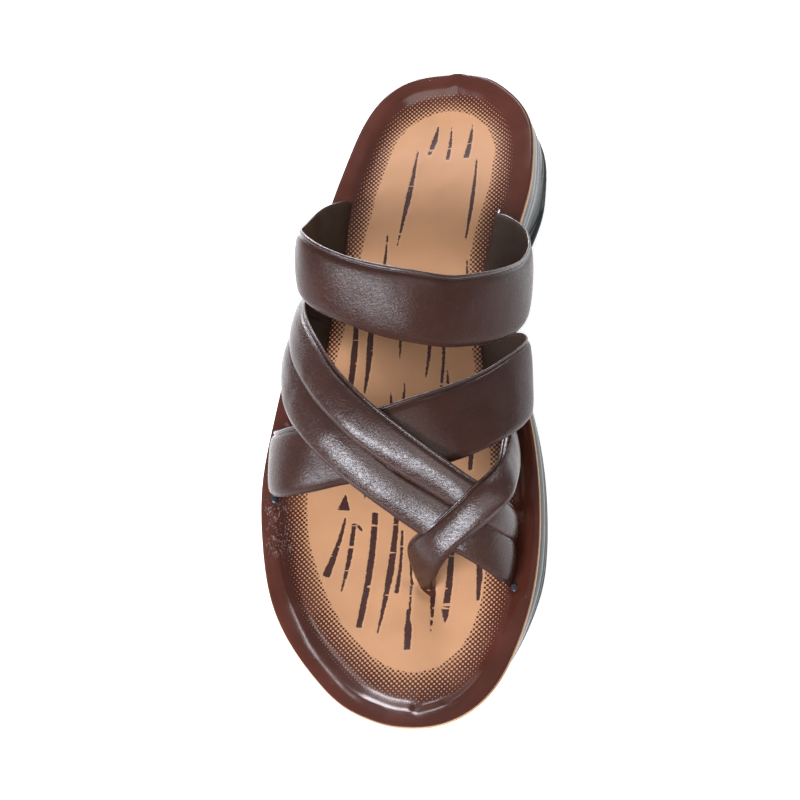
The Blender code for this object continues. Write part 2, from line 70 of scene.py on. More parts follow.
# Edge of the footbed seen from above.
# columns: s, lateral x, medial x
OUTLINE = (
    (0.0, 2.5, 2.5),
    (1.2, -10.5, 13.5),
    (4.0, -17.5, 20.3),
    (9.0, -23.5, 26.6),
    (17.0, -29.2, 33.3),
    (28.0, -33.7, 37.9),
    (42.0, -37.3, 39.2),
    (60.0, -41.5, 38.3),
    (80.0, -46.3, 33.5),
    (104.0, -52.6, 30.2),
    (130.0, -58.2, 33.6),
    (155.0, -61.8, 39.8),
    (180.0, -63.6, 43.4),
    (205.0, -60.3, 44.2),
    (228.0, -53.4, 42.0),
    (246.0, -42.6, 37.3),
    (258.0, -32.2, 32.2),
    (267.0, -22.0, 25.2),
    (272.5, -10.8, 16.8),
    (274.6, -3.0, 9.5),
    (275.0, 3.0, 3.0),
)

# Side profile of the shoe.
# columns: s, height of the footbed's rim, height of the underside
PROFILE = (
    (-3.0, 28.0, 3.0),
    (8.0, 28.6, 1.4),
    (18.0, 29.0, 0.5),
    (28.0, 29.7, 0.0),
    (40.0, 31.0, 0.0),
    (54.0, 32.5, 0.0),
    (63.0, 32.9, 2.1),
    (73.0, 32.5, 4.0),
    (83.0, 31.3, 5.6),
    (92.0, 29.9, 6.8),
    (103.0, 27.8, 7.8),
    (112.0, 25.4, 6.2),
    (124.0, 22.9, 3.8),
    (134.0, 21.5, 2.2),
    (143.0, 20.9, 0.9),
    (150.0, 20.7, 0.0),
    (170.0, 20.7, 0.0),
    (184.0, 21.0, 1.6),
    (196.0, 21.9, 2.8),
    (210.0, 23.7, 4.8),
    (222.0, 25.7, 7.2),
    (234.0, 28.0, 10.0),
    (246.0, 30.6, 13.4),
    (258.0, 33.6, 17.6),
    (268.0, 36.6, 22.0),
    (275.0, 39.0, 25.0),
)

# Dish of the footbed: a flat rim, a soft step, then the bed.
# columns: distance in from the edge, drop below the rim
DISH = (
    (0.0, 0.45),
    (0.3, 0.18),
    (0.9, 0.02),
    (1.6, 0.0),
    (3.7, 0.02),
    (4.4, 0.09),
    (5.3, 0.26),
    (6.2, 0.50),
    (7.3, 1.02),
    (8.7, 1.92),
    (10.0, 2.72),
    (10.9, 3.04),
    (11.7, 3.14),
    (17.0, 3.4),
)

# Levels of the sole's side wall from its foot to its top, and its swell outward at each level.
# columns: share of height, then swell, at heel, waist, arch, ball and toe
WALL = (
    ((0.00, 0.00, 0.00, 0.00, 0.00), (2.2, 0.6, -0.4, 0.8, -4.4)),
    ((0.02, 0.02, 0.02, 0.02, 0.02), (2.7, 1.1, 0.2, 1.3, -3.9)),
    ((0.05, 0.05, 0.05, 0.06, 0.06), (2.8, 1.2, 0.3, 1.3, -3.8)),
    ((0.07, 0.07, 0.07, 0.08, 0.09), (2.5, 0.8, 0.0, 0.9, -4.1)),
    ((0.09, 0.09, 0.09, 0.10, 0.11), (1.8, -0.6, -1.0, 0.1, -4.4)),
    ((0.14, 0.14, 0.11, 0.13, 0.14), (1.7, -2.4, -1.8, 0.2, -4.2)),
    ((0.30, 0.30, 0.17, 0.24, 0.24), (1.9, -4.4, -2.6, 1.4, -3.4)),
    ((0.38, 0.42, 0.21, 0.32, 0.31), (1.9, -3.9, -2.1, 1.3, -3.0)),
    ((0.44, 0.50, 0.25, 0.39, 0.38), (1.6, -2.2, -1.2, 0.4, -2.6)),
    ((0.47, 0.55, 0.29, 0.44, 0.45), (1.5, 0.5, 0.5, 0.5, -2.2)),
    ((0.50, 0.56, 0.30, 0.46, 0.47), (1.5, 0.9, 0.9, 0.9, -2.1)),
    ((0.52, 0.58, 0.32, 0.48, 0.50), (1.3, 0.8, 0.8, 0.7, -2.1)),
    ((0.58, 0.64, 0.40, 0.52, 0.56), (0.7, 0.4, 0.3, 0.1, -1.9)),
    ((0.66, 0.72, 0.53, 0.62, 0.63), (1.4, 0.4, 0.9, 1.1, -1.5)),
    ((0.70, 0.76, 0.64, 0.74, 0.76), (1.2, 0.4, 0.7, 1.5, -1.1)),
    ((0.76, 0.80, 0.76, 0.86, 0.84), (0.4, 0.2, 0.3, 1.1, -0.7)),
    ((0.82, 0.86, 0.86, 0.93, 0.92), (1.0, 0.4, 0.4, 0.5, -0.3)),
    ((0.93, 0.94, 0.95, 0.97, 0.97), (0.3, 0.0, 0.0, 0.1, -0.3)),
    ((1.00, 1.00, 1.00, 1.00, 1.00), (-0.2, -0.2, -0.2, -0.3, -0.5)),
)
# The wall's sharp lines: its foot, the ledge, the crest and its top.
WALL_SHARP = (0, 2, 10, 18)
WALL_STEPS = 5
# s of heel, waist, arch, ball, end of the ball and toe
WALL_PLACES = (30.0, 74.0, 100.0, 138.0, 215.0, 262.0)

# ---------------------------------------------------------------- straps
STRAP_THICKNESS = 2.8
ANCHOR_DEPTH = 1.9
SLOT_RISE = 2.2
STRIP_TUCK = 2.6
STRAP_PITCH = 0.9
# Share by which a strap leans towards its first row where it leaves the slot.
LEAN = 0.16

# The outer face of each strap, one row for each section from the lateral slot to the medial slot.
# columns: rear edge x, s, z, then front edge x, s, z
INSTEP_ROWS = (
    (-44.0, 72.6, 46.0, -44.8, 96.8, 41.2),
    (-45.3, 88.0, 61.8, -45.6, 110.0, 55.0),
    (-39.0, 105.4, 84.2, -40.6, 126.0, 69.5),
    (-21.5, 118.0, 89.5, -22.0, 138.0, 73.0),
    (0.0, 123.8, 88.6, -3.0, 144.0, 71.0),
    (18.8, 124.0, 81.6, 14.3, 144.5, 65.0),
    (34.5, 115.0, 68.4, 31.0, 138.0, 54.0),
    (42.0, 100.5, 51.2, 40.8, 124.5, 41.0),
    (40.0, 82.5, 38.0, 36.5, 107.5, 31.4),
)
REAR_STRIP_ROWS = (
    (-47.0, 101.5, 35.5, -50.0, 113.0, 33.0),
    (-46.5, 114.0, 50.0, -50.5, 124.5, 46.5),
    (-41.0, 127.5, 62.0, -47.5, 140.5, 57.5),
    (-28.0, 149.0, 70.5, -37.0, 159.5, 65.5),
    (-10.0, 168.0, 71.0, -20.0, 178.0, 66.5),
    (8.0, 181.5, 65.5, -2.0, 190.5, 59.0),
    (22.0, 190.5, 59.5, 13.0, 198.5, 53.5),
    (33.5, 195.0, 51.0, 28.0, 205.5, 48.0),
    (38.0, 193.5, 32.5, 37.0, 206.5, 33.0),
)
FRONT_STRIP_ROWS = (
    (-50.0, 113.0, 31.0, -52.5, 127.0, 28.5),
    (-50.5, 124.5, 44.5, -54.5, 137.5, 41.5),
    (-47.5, 140.0, 55.5, -51.5, 152.5, 51.0),
    (-37.0, 159.5, 63.5, -45.5, 167.5, 57.0),
    (-20.0, 177.5, 64.5, -30.0, 185.5, 58.0),
    (-2.0, 190.5, 57.0, -11.0, 199.0, 52.0),
    (13.0, 198.5, 51.5, 3.5, 208.0, 45.0),
    (28.0, 205.5, 46.0, 19.5, 215.5, 42.0),
    (37.0, 206.5, 31.0, 33.0, 220.5, 31.5),
)
WIDE_ROWS = (
    (-58.5, 159.0, 28.0, -58.5, 186.0, 28.0),
    (-55.5, 165.5, 42.5, -54.5, 190.5, 39.5),
    (-46.0, 169.0, 54.5, -46.0, 193.5, 47.5),
    (-31.0, 170.5, 63.0, -32.0, 193.0, 52.0),
    (-12.0, 169.0, 68.0, -14.0, 191.5, 55.5),
    (8.0, 162.5, 67.5, 7.0, 188.5, 58.0),
    (25.0, 150.5, 57.5, 24.0, 181.5, 56.0),
    (38.6, 134.0, 43.2, 39.5, 169.0, 46.5),
    (39.2, 122.8, 30.0, 41.5, 156.0, 30.0),
)
LOOP_ROWS = (
    (35.5, 160.5, 37.0, 39.0, 174.5, 32.0),
    (34.6, 171.0, 45.0, 40.9, 184.5, 44.0),
    (33.2, 182.0, 53.0, 40.0, 194.5, 54.0),
    (26.0, 193.5, 58.5, 33.5, 203.5, 54.5),
    (15.0, 201.5, 53.0, 23.0, 211.0, 50.5),
    (6.0, 206.0, 47.0, 14.0, 216.5, 45.5),
    (-3.2, 210.0, 35.8, 7.4, 221.5, 35.0),
)
# columns: rows, lateral slot and medial slot as rear x, s, front x, s, tuck under the strip behind, node
STRAPS = {
    "instep_band": (INSTEP_ROWS, ((-36.6, 61.3, -38.8, 88.3), (27.2, 70.3, 22.0, 97.0)),
                    0.0, "instep_strap"),
    "rear_strip": (REAR_STRIP_ROWS, ((-42.0, 96.5, -44.0, 112.0), (36.5, 191.0, 36.8, 205.7)),
                   0.0, "vamp_straps"),
    "front_strip": (FRONT_STRIP_ROWS, ((-44.0, 113.0, -46.0, 128.0), (36.8, 206.3, 36.3, 221.0)),
                    STRIP_TUCK, "vamp_straps"),
    "wide_strap": (WIDE_ROWS, ((-56.0, 156.0, -57.5, 183.5), (22.3, 121.0, 24.5, 152.0)),
                   0.0, "vamp_straps"),
    "toe_loop": (LOOP_ROWS, ((34.0, 153.0, 35.0, 167.5), (-2.6, 218.0, 4.6, 222.6)),
                 0.0, "vamp_straps"),
}


# ---------------------------------------------------------------- curves and plan
def spline(knots, values, query):
    """A natural cubic spline through values at the knots, read at each query."""
    knots = np.asarray(knots, float)
    values = np.asarray(values, float)
    step = np.diff(knots)
    slope = np.diff(values) / step
    count = len(knots)
    matrix = np.eye(count)
    right = np.zeros(count)
    for i in range(1, count - 1):
        matrix[i, i - 1:i + 2] = step[i - 1], 2 * (step[i - 1] + step[i]), step[i]
        right[i] = 6 * (slope[i] - slope[i - 1])
    bend = np.linalg.solve(matrix, right)
    i = np.clip(np.searchsorted(knots, query, side="right") - 1, 0, count - 2)
    h = step[i]
    a = (knots[i + 1] - query) / h
    b = (query - knots[i]) / h
    curve = (a ** 3 - a) * bend[i] + (b ** 3 - b) * bend[i + 1]
    return a * values[i] + b * values[i + 1] + curve * h ** 2 / 6


def softened(grid, values, width):
    """Values on an even grid, smoothed over a width in the grid's own unit. Both ends stay put."""
    step = grid[1] - grid[0]
    reach = min(len(values) - 1, max(1, int(round(2.5 * width / step))))
    weights = np.exp(-0.5 * (np.arange(-reach, reach + 1) * step / width) ** 2)
    before = 2 * values[0] - values[reach:0:-1]
    after = 2 * values[-1] - values[-2:-reach - 2:-1]
    return np.convolve(np.concatenate([before, values, after]), weights / weights.sum(), mode="valid")


UNDER_EASE = 1.5
DISH_EASE = 0.35
DISH_REACH = DISH[-1][0]
PROFILE_GRID = np.linspace(PROFILE[0][0], PROFILE[-1][0], 557)
RIM_GRID = spline([row[0] for row in PROFILE], [row[1] for row in PROFILE], PROFILE_GRID)
UNDER_ROWS = np.interp(PROFILE_GRID, *zip(*[(row[0], row[2]) for row in PROFILE]))
UNDER_GRID = softened(PROFILE_GRID, UNDER_ROWS, UNDER_EASE)
DISH_GRID = np.linspace(0.0, DISH_REACH, 171)
DISH_DROP = softened(DISH_GRID, np.interp(DISH_GRID, *zip(*DISH)), DISH_EASE)


def rim_height(s):
    return np.interp(s, PROFILE_GRID, RIM_GRID)


def under_height(s):
    return np.interp(s, PROFILE_GRID, UNDER_GRID)


def bed_drop(inset, beyond=None):
    """Depth of the dish below the rim, at a distance in from the footbed's edge."""
    return np.interp(inset, DISH_GRID, DISH_DROP, right=beyond)


def run_length(points):
    """Distance travelled along a line of points, from 0 at the first."""
    return np.concatenate([[0.0], np.cumsum(np.linalg.norm(np.diff(points, axis=0), axis=1))])


def unit(vectors):
    return vectors / np.linalg.norm(vectors, axis=1)[:, None]


def closed_curve(table, wrap, count):
    """A smooth closed curve through a table of s, lateral x and medial x, as points x, s."""
    table = np.array(table)
    around = np.concatenate([table[:, [1, 0]], table[-2:0:-1][:, [2, 0]]])
    wrapped = np.concatenate([around[-wrap:], around, around[:wrap + 1]])
    chord = run_length(wrapped)
    at = np.linspace(chord[wrap], chord[wrap + len(around)], count + 1)[:-1]
    return np.stack([spline(chord, wrapped[:, k], at) for k in (0, 1)], axis=1)


def outline_branches(stations):
    """The lateral and the medial side of the outline, each from heel to toe at the same s."""
    curve = closed_curve(OUTLINE, 4, 6000)
    curve = np.roll(curve, -int(np.argmin(curve[:, 1])), axis=0)
    toe = int(np.argmax(curve[:, 1]))
    lateral = curve[:toe + 1]
    medial = np.concatenate([curve[toe:], curve[:1]])[::-1]
    travel = run_length(lateral)
    places = np.interp(np.linspace(0.0, travel[-1], stations + 1), travel, lateral[:, 1])
    return places, np.interp(places, *lateral.T[::-1]), np.interp(places, *medial.T[::-1])


EDGE_S, EDGE_LATERAL, EDGE_MEDIAL = outline_branches(STATIONS)
EDGE_LOOP = np.stack([np.concatenate([EDGE_LATERAL, EDGE_MEDIAL[::-1]]),
                      np.concatenate([EDGE_S, EDGE_S[::-1]])], axis=1)
COVER_LOW, COVER_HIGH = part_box("footbed_cover")
SHIFT_X = 0.5 * (COVER_LOW[0] + COVER_HIGH[0]) / MM - 0.5 * (EDGE_LATERAL.min() + EDGE_MEDIAL.max())
HEEL_Y = COVER_HIGH[1] / MM


def to_world(points):
    """Points as x, s, z in millimetres, in the frame's metres."""
    points = np.asarray(points, float)
    return np.stack([points[..., 0] + SHIFT_X, HEEL_Y - points[..., 1], points[..., 2]], axis=-1) * MM


class Plan:
    """The closed outline as points with outward normals, and a spine down the middle."""

    def __init__(self, stations=STATIONS):
        places, lateral, medial = outline_branches(stations)
        loop_x = np.concatenate([lateral, medial[-2:0:-1]])
        loop_s = np.concatenate([places, places[-2:0:-1]])
        self.points = np.stack([loop_x, loop_s], axis=1)
        ahead = np.roll(self.points, -1, axis=0) - np.roll(self.points, 1, axis=0)
        normals = unit(np.stack([-ahead[:, 1], ahead[:, 0]], axis=1))
        self.normals = normals * np.sign(np.sum(normals * (self.points - self.points.mean(axis=0))))
        spine_s = np.clip(places, SPINE_BACK, SPINE_FRONT)
        middle = np.interp(spine_s, places, 0.5 * (lateral + medial))
        spine = np.stack([middle, spine_s], axis=1)
        self.spine = np.concatenate([spine, spine[-2:0:-1]])

    def offset(self, distance):
        """The outline moved outwards, or inwards where the distance is below 0."""
        return self.points + self.normals * np.reshape(distance, (-1, 1))

    def towards_spine(self, inset, share):
        """The outline at an inset, drawn in towards the spine by a share."""
        edge = self.offset(-inset)
        return edge + (self.spine - edge) * share


def raise_to(plan_points, z):
    """Plan points with their heights beside them."""
    return np.column_stack([plan_points, np.broadcast_to(z, len(plan_points))])


def below_rim(plan_points, drop):
    """Plan points at a depth below the footbed's rim."""
    return raise_to(plan_points, rim_height(plan_points[:, 1]) - drop)


def segment_distance(points, start, way):
    """Distance from points to a straight piece from start along way."""
    rel = points - start
    t = np.clip((rel @ way) / max(way @ way, 1e-9), 0.0, 1.0)
    return np.hypot(rel[:, 0] - t * way[0], rel[:, 1] - t * way[1])


def polygon_distance(points, loop):
    """Distance from points to a closed polygon, negative inside it."""
    best = np.full(len(points), np.inf)
    inside = np.zeros(len(points), bool)
    for start, way in zip(loop, np.roll(loop, -1, axis=0) - loop):
        best = np.minimum(best, segment_distance(points, start, way))
        rel = points - start
        crosses = (points[:, 1] >= start[1]) != (points[:, 1] >= start[1] + way[1])
        if abs(way[1]) > 1e-9:
            inside ^= crosses & (rel[:, 0] < rel[:, 1] / way[1] * way[0])
    return np.where(inside, -best, best)


def ripple(points, wavelength, seed):
    """A smooth irregular wave through space, between about -1 and 1."""
    random = np.random.default_rng(seed)
    total = np.zeros(len(points))
    waves = 7
    for _ in range(waves):
        way = random.normal(size=3)
        way /= np.linalg.norm(way)
        pitch = wavelength * random.uniform(0.7, 1.5)
        total += np.sin(points @ way * (2 * math.pi / pitch) + random.uniform(0, 2 * math.pi))
    return total / math.sqrt(waves)


# ---------------------------------------------------------------- meshes
# Metres within which points are merged, and below which an edge is dropped.
MERGE_WITHIN = 2e-6
SHORTEST_EDGE = 1e-6


def ring_faces(rings, size):
    """Quads between closed rings of the same size."""
    k, i = np.meshgrid(np.arange(rings - 1), np.arange(size), indexing="ij")
    j = (i + 1) % size
    quads = np.stack([k * size + i, k * size + j, (k + 1) * size + j, (k + 1) * size + i], axis=-1)
    return quads.reshape(-1, 4)


def mesh_piece(name, vertices, faces, materials, node, values=None, face_material=None, sharp=None):
    """A closed piece from points in plan millimetres, with named values on its points."""
    mesh = bpy.data.meshes.new(name)
    mesh.from_pydata(to_world(vertices).tolist(), [], [tuple(f) for f in faces])
    for material in materials:
        mesh.materials.append(material)
    if face_material is not None:
        mesh.polygons.foreach_set("material_index", np.asarray(face_material, "int32"))
    for key, data in (values or {}).items():
        layer = mesh.attributes.new(key, "FLOAT", "POINT")
        layer.data.foreach_set("value", np.asarray(data, "float32"))
    build = bmesh.new()
    build.from_mesh(mesh)
    bmesh.ops.remove_doubles(build, verts=build.verts, dist=MERGE_WITHIN)
    bmesh.ops.dissolve_degenerate(build, edges=build.edges, dist=SHORTEST_EDGE)
    bmesh.ops.recalc_face_normals(build, faces=build.faces)
    if build.calc_volume(signed=True) < 0:
        bmesh.ops.reverse_faces(build, faces=build.faces)
    build.to_mesh(mesh)
    build.free()
    mesh.shade_smooth()
    if sharp:
        mesh.set_sharp_from_angle(angle=sharp)
    piece = bpy.data.objects.new(name, mesh)
    bpy.context.scene.collection.objects.link(piece)
    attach(piece, "root")
    if node:
        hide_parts(node)
    return piece


# ---------------------------------------------------------------- shader nodes
class Shader:
    """A Principled material and short calls for the nodes that feed it. Pitches and depths are in mm."""

    def __init__(self, name, roughness=0.5, **settings):
        self.material = bpy.data.materials.new(name)
        self.material.use_nodes = True
        self.tree = self.material.node_tree
        self.out = self.tree.nodes["Principled BSDF"]
        self.out.inputs["Roughness"].default_value = roughness
        for key, value in settings.items():
            self.out.inputs[key.replace("_", " ")].default_value = value

    def node(self, kind, inputs=(), **settings):
        made = self.tree.nodes.new("ShaderNode" + kind)
        for key, value in settings.items():
            setattr(made, key, value)
        for key, value in dict(inputs).items():
            self.feed(made.inputs[key], value)
        return made

    def feed(self, socket, value):
        if isinstance(value, bpy.types.NodeSocket):
            self.tree.links.new(value, socket)
        else:
            socket.default_value = value

    def math(self, operation, a, b=0.0):
        return self.node("Math", {0: a, 1: b}, operation=operation).outputs[0]

    def times(self, a, b):
        return self.math("MULTIPLY", a, b)

    def ramp(self, value, low, high, to_low=0.0, to_high=1.0, smooth=False):
        kind = "SMOOTHSTEP" if smooth else "LINEAR"
        inputs = {0: value, 1: low, 2: high, 3: to_low, 4: to_high}
        return self.node("MapRange", inputs, interpolation_type=kind).outputs[0]

    def mix(self, share, first, second):
        """A colour between two, each a socket or a red, green and blue value."""
        first, second = [(*c, 1.0) if isinstance(c, tuple) else c for c in (first, second)]
        return self.node("Mix", {0: share, 6: first, 7: second}, data_type="RGBA").outputs[2]

    def tint(self, value, first, second):
        """The first colour where a noise is low and the second where it is high."""
        return self.mix(self.ramp(value, 0.3, 0.7), first, second)

    def place(self, scale=(1.0, 1.0, 1.0)):
        spot = self.node("TexCoord").outputs["Object"]
        return self.node("Mapping", {"Vector": spot, "Scale": scale}).outputs[0]

    def noise(self, pitch, detail=2.0, roughness=0.5, where=None, distortion=0.0):
        inputs = {"Vector": where or self.place(), "Scale": 1.0 / (pitch * MM), "Detail": detail,
                  "Roughness": roughness, "Distortion": distortion}
        return self.node("TexNoise", inputs).outputs[0]

    def cells(self, pitch, feature="F1", where=None):
        inputs = {"Vector": where or self.place(), "Scale": 1.0 / (pitch * MM)}
        return self.node("TexVoronoi", inputs, feature=feature).outputs["Distance"]

    def value(self, name):
        return self.node("Attribute", attribute_name=name).outputs["Fac"]

    def relief(self, *layers):
        """Bumps laid over one another, each as a height, its depth and its strength."""
        normal = None
        for height, depth, strength in layers:
            inputs = {"Height": height, "Distance": depth * MM, "Strength": strength}
            if normal:
                inputs["Normal"] = normal
            normal = self.node("Bump", inputs).outputs[0]
        return normal

    def finish(self, colour=None, roughness=None, normal=None):
        for key, value in (("Base Color", colour), ("Roughness", roughness), ("Normal", normal)):
            if value is not None:
                self.feed(self.out.inputs[key], value)
        return self.material


def strap_leather(name, shine, dullness):
    """Dark brown synthetic leather with a fine wrinkled grain, and painted shade in its creases."""
    shader = Shader(name, Specular_IOR_Level=shine)
    stretch = shader.place((0.8, 1.25, 1.0))
    warp = shader.noise(2.2, detail=3.0, where=stretch)
    shift = shader.node("VectorMath", {0: warp, 1: (1.4 * MM,) * 3}, operation="MULTIPLY").outputs[0]
    spot = shader.node("VectorMath", {0: stretch, 1: shift}, operation="ADD").outputs[0]
    pebble = shader.cells(0.7, feature="SMOOTH_F1", where=spot)
    wrinkle = shader.noise(1.0, detail=3.0, roughness=0.6, where=spot, distortion=0.7)
    from_middle = shader.math("ABSOLUTE", shader.math("SUBTRACT", wrinkle, 0.5))
    fold = shader.ramp(from_middle, 0.0, 0.08, smooth=True)
    fine = shader.noise(0.3, detail=3.0, roughness=0.6)
    broad = shader.noise(12.0, detail=2.0)
    relief = shader.relief((pebble, 0.09, 0.6), (fold, 0.03, 0.5), (wrinkle, 0.16, 0.5), (fine, 0.02, 0.4))
    colour = shader.tint(broad, (0.032, 0.0120, 0.0084), (0.041, 0.0163, 0.0120))
    # Painted shade: the wrinkles' crease lines are darkened towards near-black.
    colour = shader.mix(shader.ramp(fold, 0.0, 0.6, 0.2, 0.0), colour, (0.018, 0.008, 0.007))
    gloss = shader.ramp(broad, 0.3, 0.7, dullness + 0.03, dullness - 0.02)
    return shader.finish(colour, gloss, relief)


def strap_lining():
    """The straps' matt dark inner face."""
    shader = Shader("strap_lining", Specular_IOR_Level=0.2)
    nap = shader.noise(0.5, detail=4.0, roughness=0.7)
    worn = shader.noise(11.0, detail=2.0)
    colour = shader.mix(shader.ramp(nap, 0.35, 0.65), (0.024, 0.0130, 0.0085), (0.046, 0.0255, 0.0170))
    colour = shader.mix(shader.ramp(worn, 0.45, 0.7, 0.0, 0.35), colour, (0.058, 0.036, 0.024))
    return shader.finish(colour, shader.ramp(worn, 0.3, 0.7, 0.62, 0.5), shader.relief((nap, 0.08, 0.5)))


# Distance between printed dots in a row, and the softness of a dot's edge.
DOT_REPEAT = 1.92
DOT_SOFTNESS = 0.16


def footbed_print():
    """Tan synthetic leather: dots merge into a dark brown rim, with dark pressed strokes."""
    shader = Shader("footbed_print", Specular_IOR_Level=0.45)
    axes = shader.node("SeparateXYZ", {0: shader.place()}).outputs
    turn = 2.0 * math.pi / (DOT_REPEAT * MM)
    waves = [shader.math("COSINE", shader.times(axes[k], turn)) for k in (0, 1)]
    spots = shader.times(shader.times(*waves), 2.0)
    # The level rises from the brown rim to the tan middle, where no dot is left.
    fade = shader.value("fade")
    plain = shader.ramp(fade, 1.0, 1.004, 0.0, 3.0)
    level = shader.math("ADD", shader.ramp(fade, 0.0, 1.0, -2.2, 0.30), plain)
    dark = shader.ramp(shader.math("SUBTRACT", spots, level), -DOT_SOFTNESS, DOT_SOFTNESS, smooth=True)
    mottle = shader.noise(14.0, detail=3.0)
    fine = shader.noise(0.5, detail=3.0, roughness=0.65)
    tan = shader.tint(mottle, (0.450, 0.228, 0.112), (0.495, 0.252, 0.125))
    tan = shader.mix(shader.ramp(fine, 0.35, 0.7, 0.0, 0.18), tan, (0.39, 0.190, 0.090))
    brown = shader.tint(mottle, (0.060, 0.0150, 0.0090), (0.080, 0.0210, 0.0130))
    colour = shader.mix(dark, tan, brown)

    # Strokes: a ragged edge with chips out of it, a painted highlight along the raised lip round each, and
    # dark ink.
    ragged = shader.noise(1.3, detail=3.0, roughness=0.7)
    chips = shader.noise(3.0, detail=1.0, where=shader.place((0.25, 1.6, 1.0)))
    wander = shader.math("ADD", shader.ramp(ragged, 0.3, 0.7, -0.22, 0.22),
                         shader.ramp(chips, 0.665, 0.68, 0.0, 1.6))
    edge = shader.math("ADD", shader.value("stroke"), wander)
    pressed = shader.ramp(edge, 0.12, -0.12, smooth=True)
    # Painted highlight: a pale band just outside each stroke's edge, standing in for light on the raised lip.
    rises = shader.ramp(edge, 0.10, 0.32, smooth=True)
    lip_highlight = shader.times(rises, shader.ramp(edge, 0.75, 0.35, smooth=True))
    colour = shader.mix(shader.times(lip_highlight, 0.14), colour, (0.56, 0.38, 0.27))
    ink = shader.mix(shader.ramp(ragged, 0.4, 0.7), (0.036, 0.0095, 0.0062), (0.052, 0.0150, 0.0098))
    colour = shader.mix(pressed, colour, ink)

    # Dust and scuffs.
    dust = shader.times(shader.ramp(shader.cells(7.0), 0.045, 0.02), shader.ramp(mottle, 0.42, 0.6))
    colour = shader.mix(shader.times(dust, 0.55), colour, (0.52, 0.42, 0.38))
    along = shader.place((1.0, 0.45, 1.0))
    scratch = shader.noise(1.1, detail=5.0, roughness=0.75, where=along, distortion=1.2)
    scuff = shader.times(shader.ramp(scratch, 0.54, 0.62), shader.value("scuff"))
    colour = shader.mix(shader.times(scuff, 0.75), colour, (0.50, 0.42, 0.40))

    gloss = shader.ramp(dark, 0.0, 1.0, 0.52, shader.ramp(fade, 0.0, 0.3, 0.17, 0.27))
    gloss = shader.math("ADD", gloss, shader.ramp(mottle, 0.3, 0.7, -0.03, 0.03))
    gloss = shader.ramp(pressed, 0.0, 1.0, gloss, 0.45)
    calm = shader.math("SUBTRACT", 1.0, pressed)
    relief = shader.relief((shader.times(fine, calm), 0.03, 0.45), (mottle, 0.35, 0.15), (calm, 0.10, 0.6),
                           (scuff, 0.12, 0.6))
    return shader.finish(colour, gloss, relief)


def board_fibre():
    """Light tan board, seen at its cut edge."""
    shader = Shader("board_fibre", roughness=0.82, Specular_IOR_Level=0.3)
    fibre = shader.noise(0.55, detail=4.0, roughness=0.7, where=shader.place((1.0, 1.0, 2.2)))
    stain = shader.noise(8.0, detail=2.0)
    colour = shader.tint(fibre, (0.47, 0.27, 0.135), (0.68, 0.44, 0.26))
    colour = shader.mix(shader.ramp(stain, 0.5, 0.75, 0.0, 0.4), colour, (0.36, 0.20, 0.11))
    return shader.finish(colour, normal=shader.relief((fibre, 0.15, 0.7)))


def sole_rubber():
    """Glossy black moulded polyurethane with faint scratches and dust."""
    shader = Shader("sole_rubber", Specular_IOR_Level=0.55)
    flow = shader.noise(26.0, detail=2.0)
    fine = shader.noise(0.45, detail=3.0, roughness=0.6)
    smear = shader.noise(7.0, detail=4.0, roughness=0.6, where=shader.place((1.0, 0.5, 1.6)))
    specks = shader.ramp(shader.cells(5.5), 0.05, 0.02)
    along = shader.place((1.0, 0.12, 1.0))
    hair = shader.noise(0.9, detail=5.0, roughness=0.8, where=along, distortion=0.6)
    scratch = shader.ramp(hair, 0.66, 0.70)
    marks = shader.math("MAXIMUM", shader.times(specks, 0.35), shader.times(scratch, 0.12))
    colour = shader.tint(flow, (0.0095, 0.0140, 0.0135), (0.015, 0.0215, 0.0205))
    colour = shader.mix(marks, colour, (0.22, 0.22, 0.21))
    gloss = shader.math("ADD", shader.ramp(smear, 0.35, 0.75, 0.15, 0.30), shader.times(marks, 0.4))
    return shader.finish(colour, gloss, shader.relief((flow, 0.5, 0.12), (fine, 0.018, 0.4)))


def tread_rubber():
    """The outsole's black rubber, satin and a little dusty."""
    shader = Shader("tread_rubber", Specular_IOR_Level=0.5)
    grain = shader.noise(0.6, detail=4.0, roughness=0.65)
    dust = shader.noise(9.0, detail=3.0)
    colour = shader.mix(shader.ramp(dust, 0.4, 0.75), (0.011, 0.012, 0.013), (0.040, 0.038, 0.035))
    return shader.finish(colour, shader.ramp(dust, 0.3, 0.7, 0.38, 0.58), shader.relief((grain, 0.07, 0.5)))


def cement():
    """Black glossy cement, squeezed out at the slots."""
    shader = Shader("cement", Specular_IOR_Level=0.6)
    lump = shader.noise(1.6, detail=3.0)
    colour = shader.mix(lump, (0.010, 0.012, 0.016), (0.030, 0.034, 0.044))
    return shader.finish(colour, shader.ramp(lump, 0.3, 0.7, 0.16, 0.30), shader.relief((lump, 0.4, 0.5)))


# ---------------------------------------------------------------- footbed cover and board
# Edge of the plain tan middle of the footbed.
# columns: s, lateral x, medial x
TAN_EDGE = (
    (16.8, 4.0, 4.0),
    (19.0, -6.0, 11.5),
    (24.0, -13.5, 18.0),
    (31.0, -18.5, 22.0),
    (41.0, -21.0, 23.2),
    (52.0, -23.5, 22.5),
    (65.0, -26.0, 19.5),
    (88.0, -30.0, 15.0),
    (105.0, -33.5, 15.0),
    (120.0, -37.0, 16.0),
    (140.0, -42.0, 19.0),
    (165.0, -46.0, 24.0),
    (181.0, -46.0, 25.2),
    (196.0, -44.7, 25.3),
    (208.0, -41.0, 25.2),
    (223.0, -34.3, 24.2),
    (238.0, -24.3, 20.8),
    (248.0, -13.5, 14.5),
    (252.5, -5.5, 7.5),
    (253.6, 1.0, 1.0),
)
# Distance in from the edge at which the brown begins to fade.
FADE_INSET = 7.6

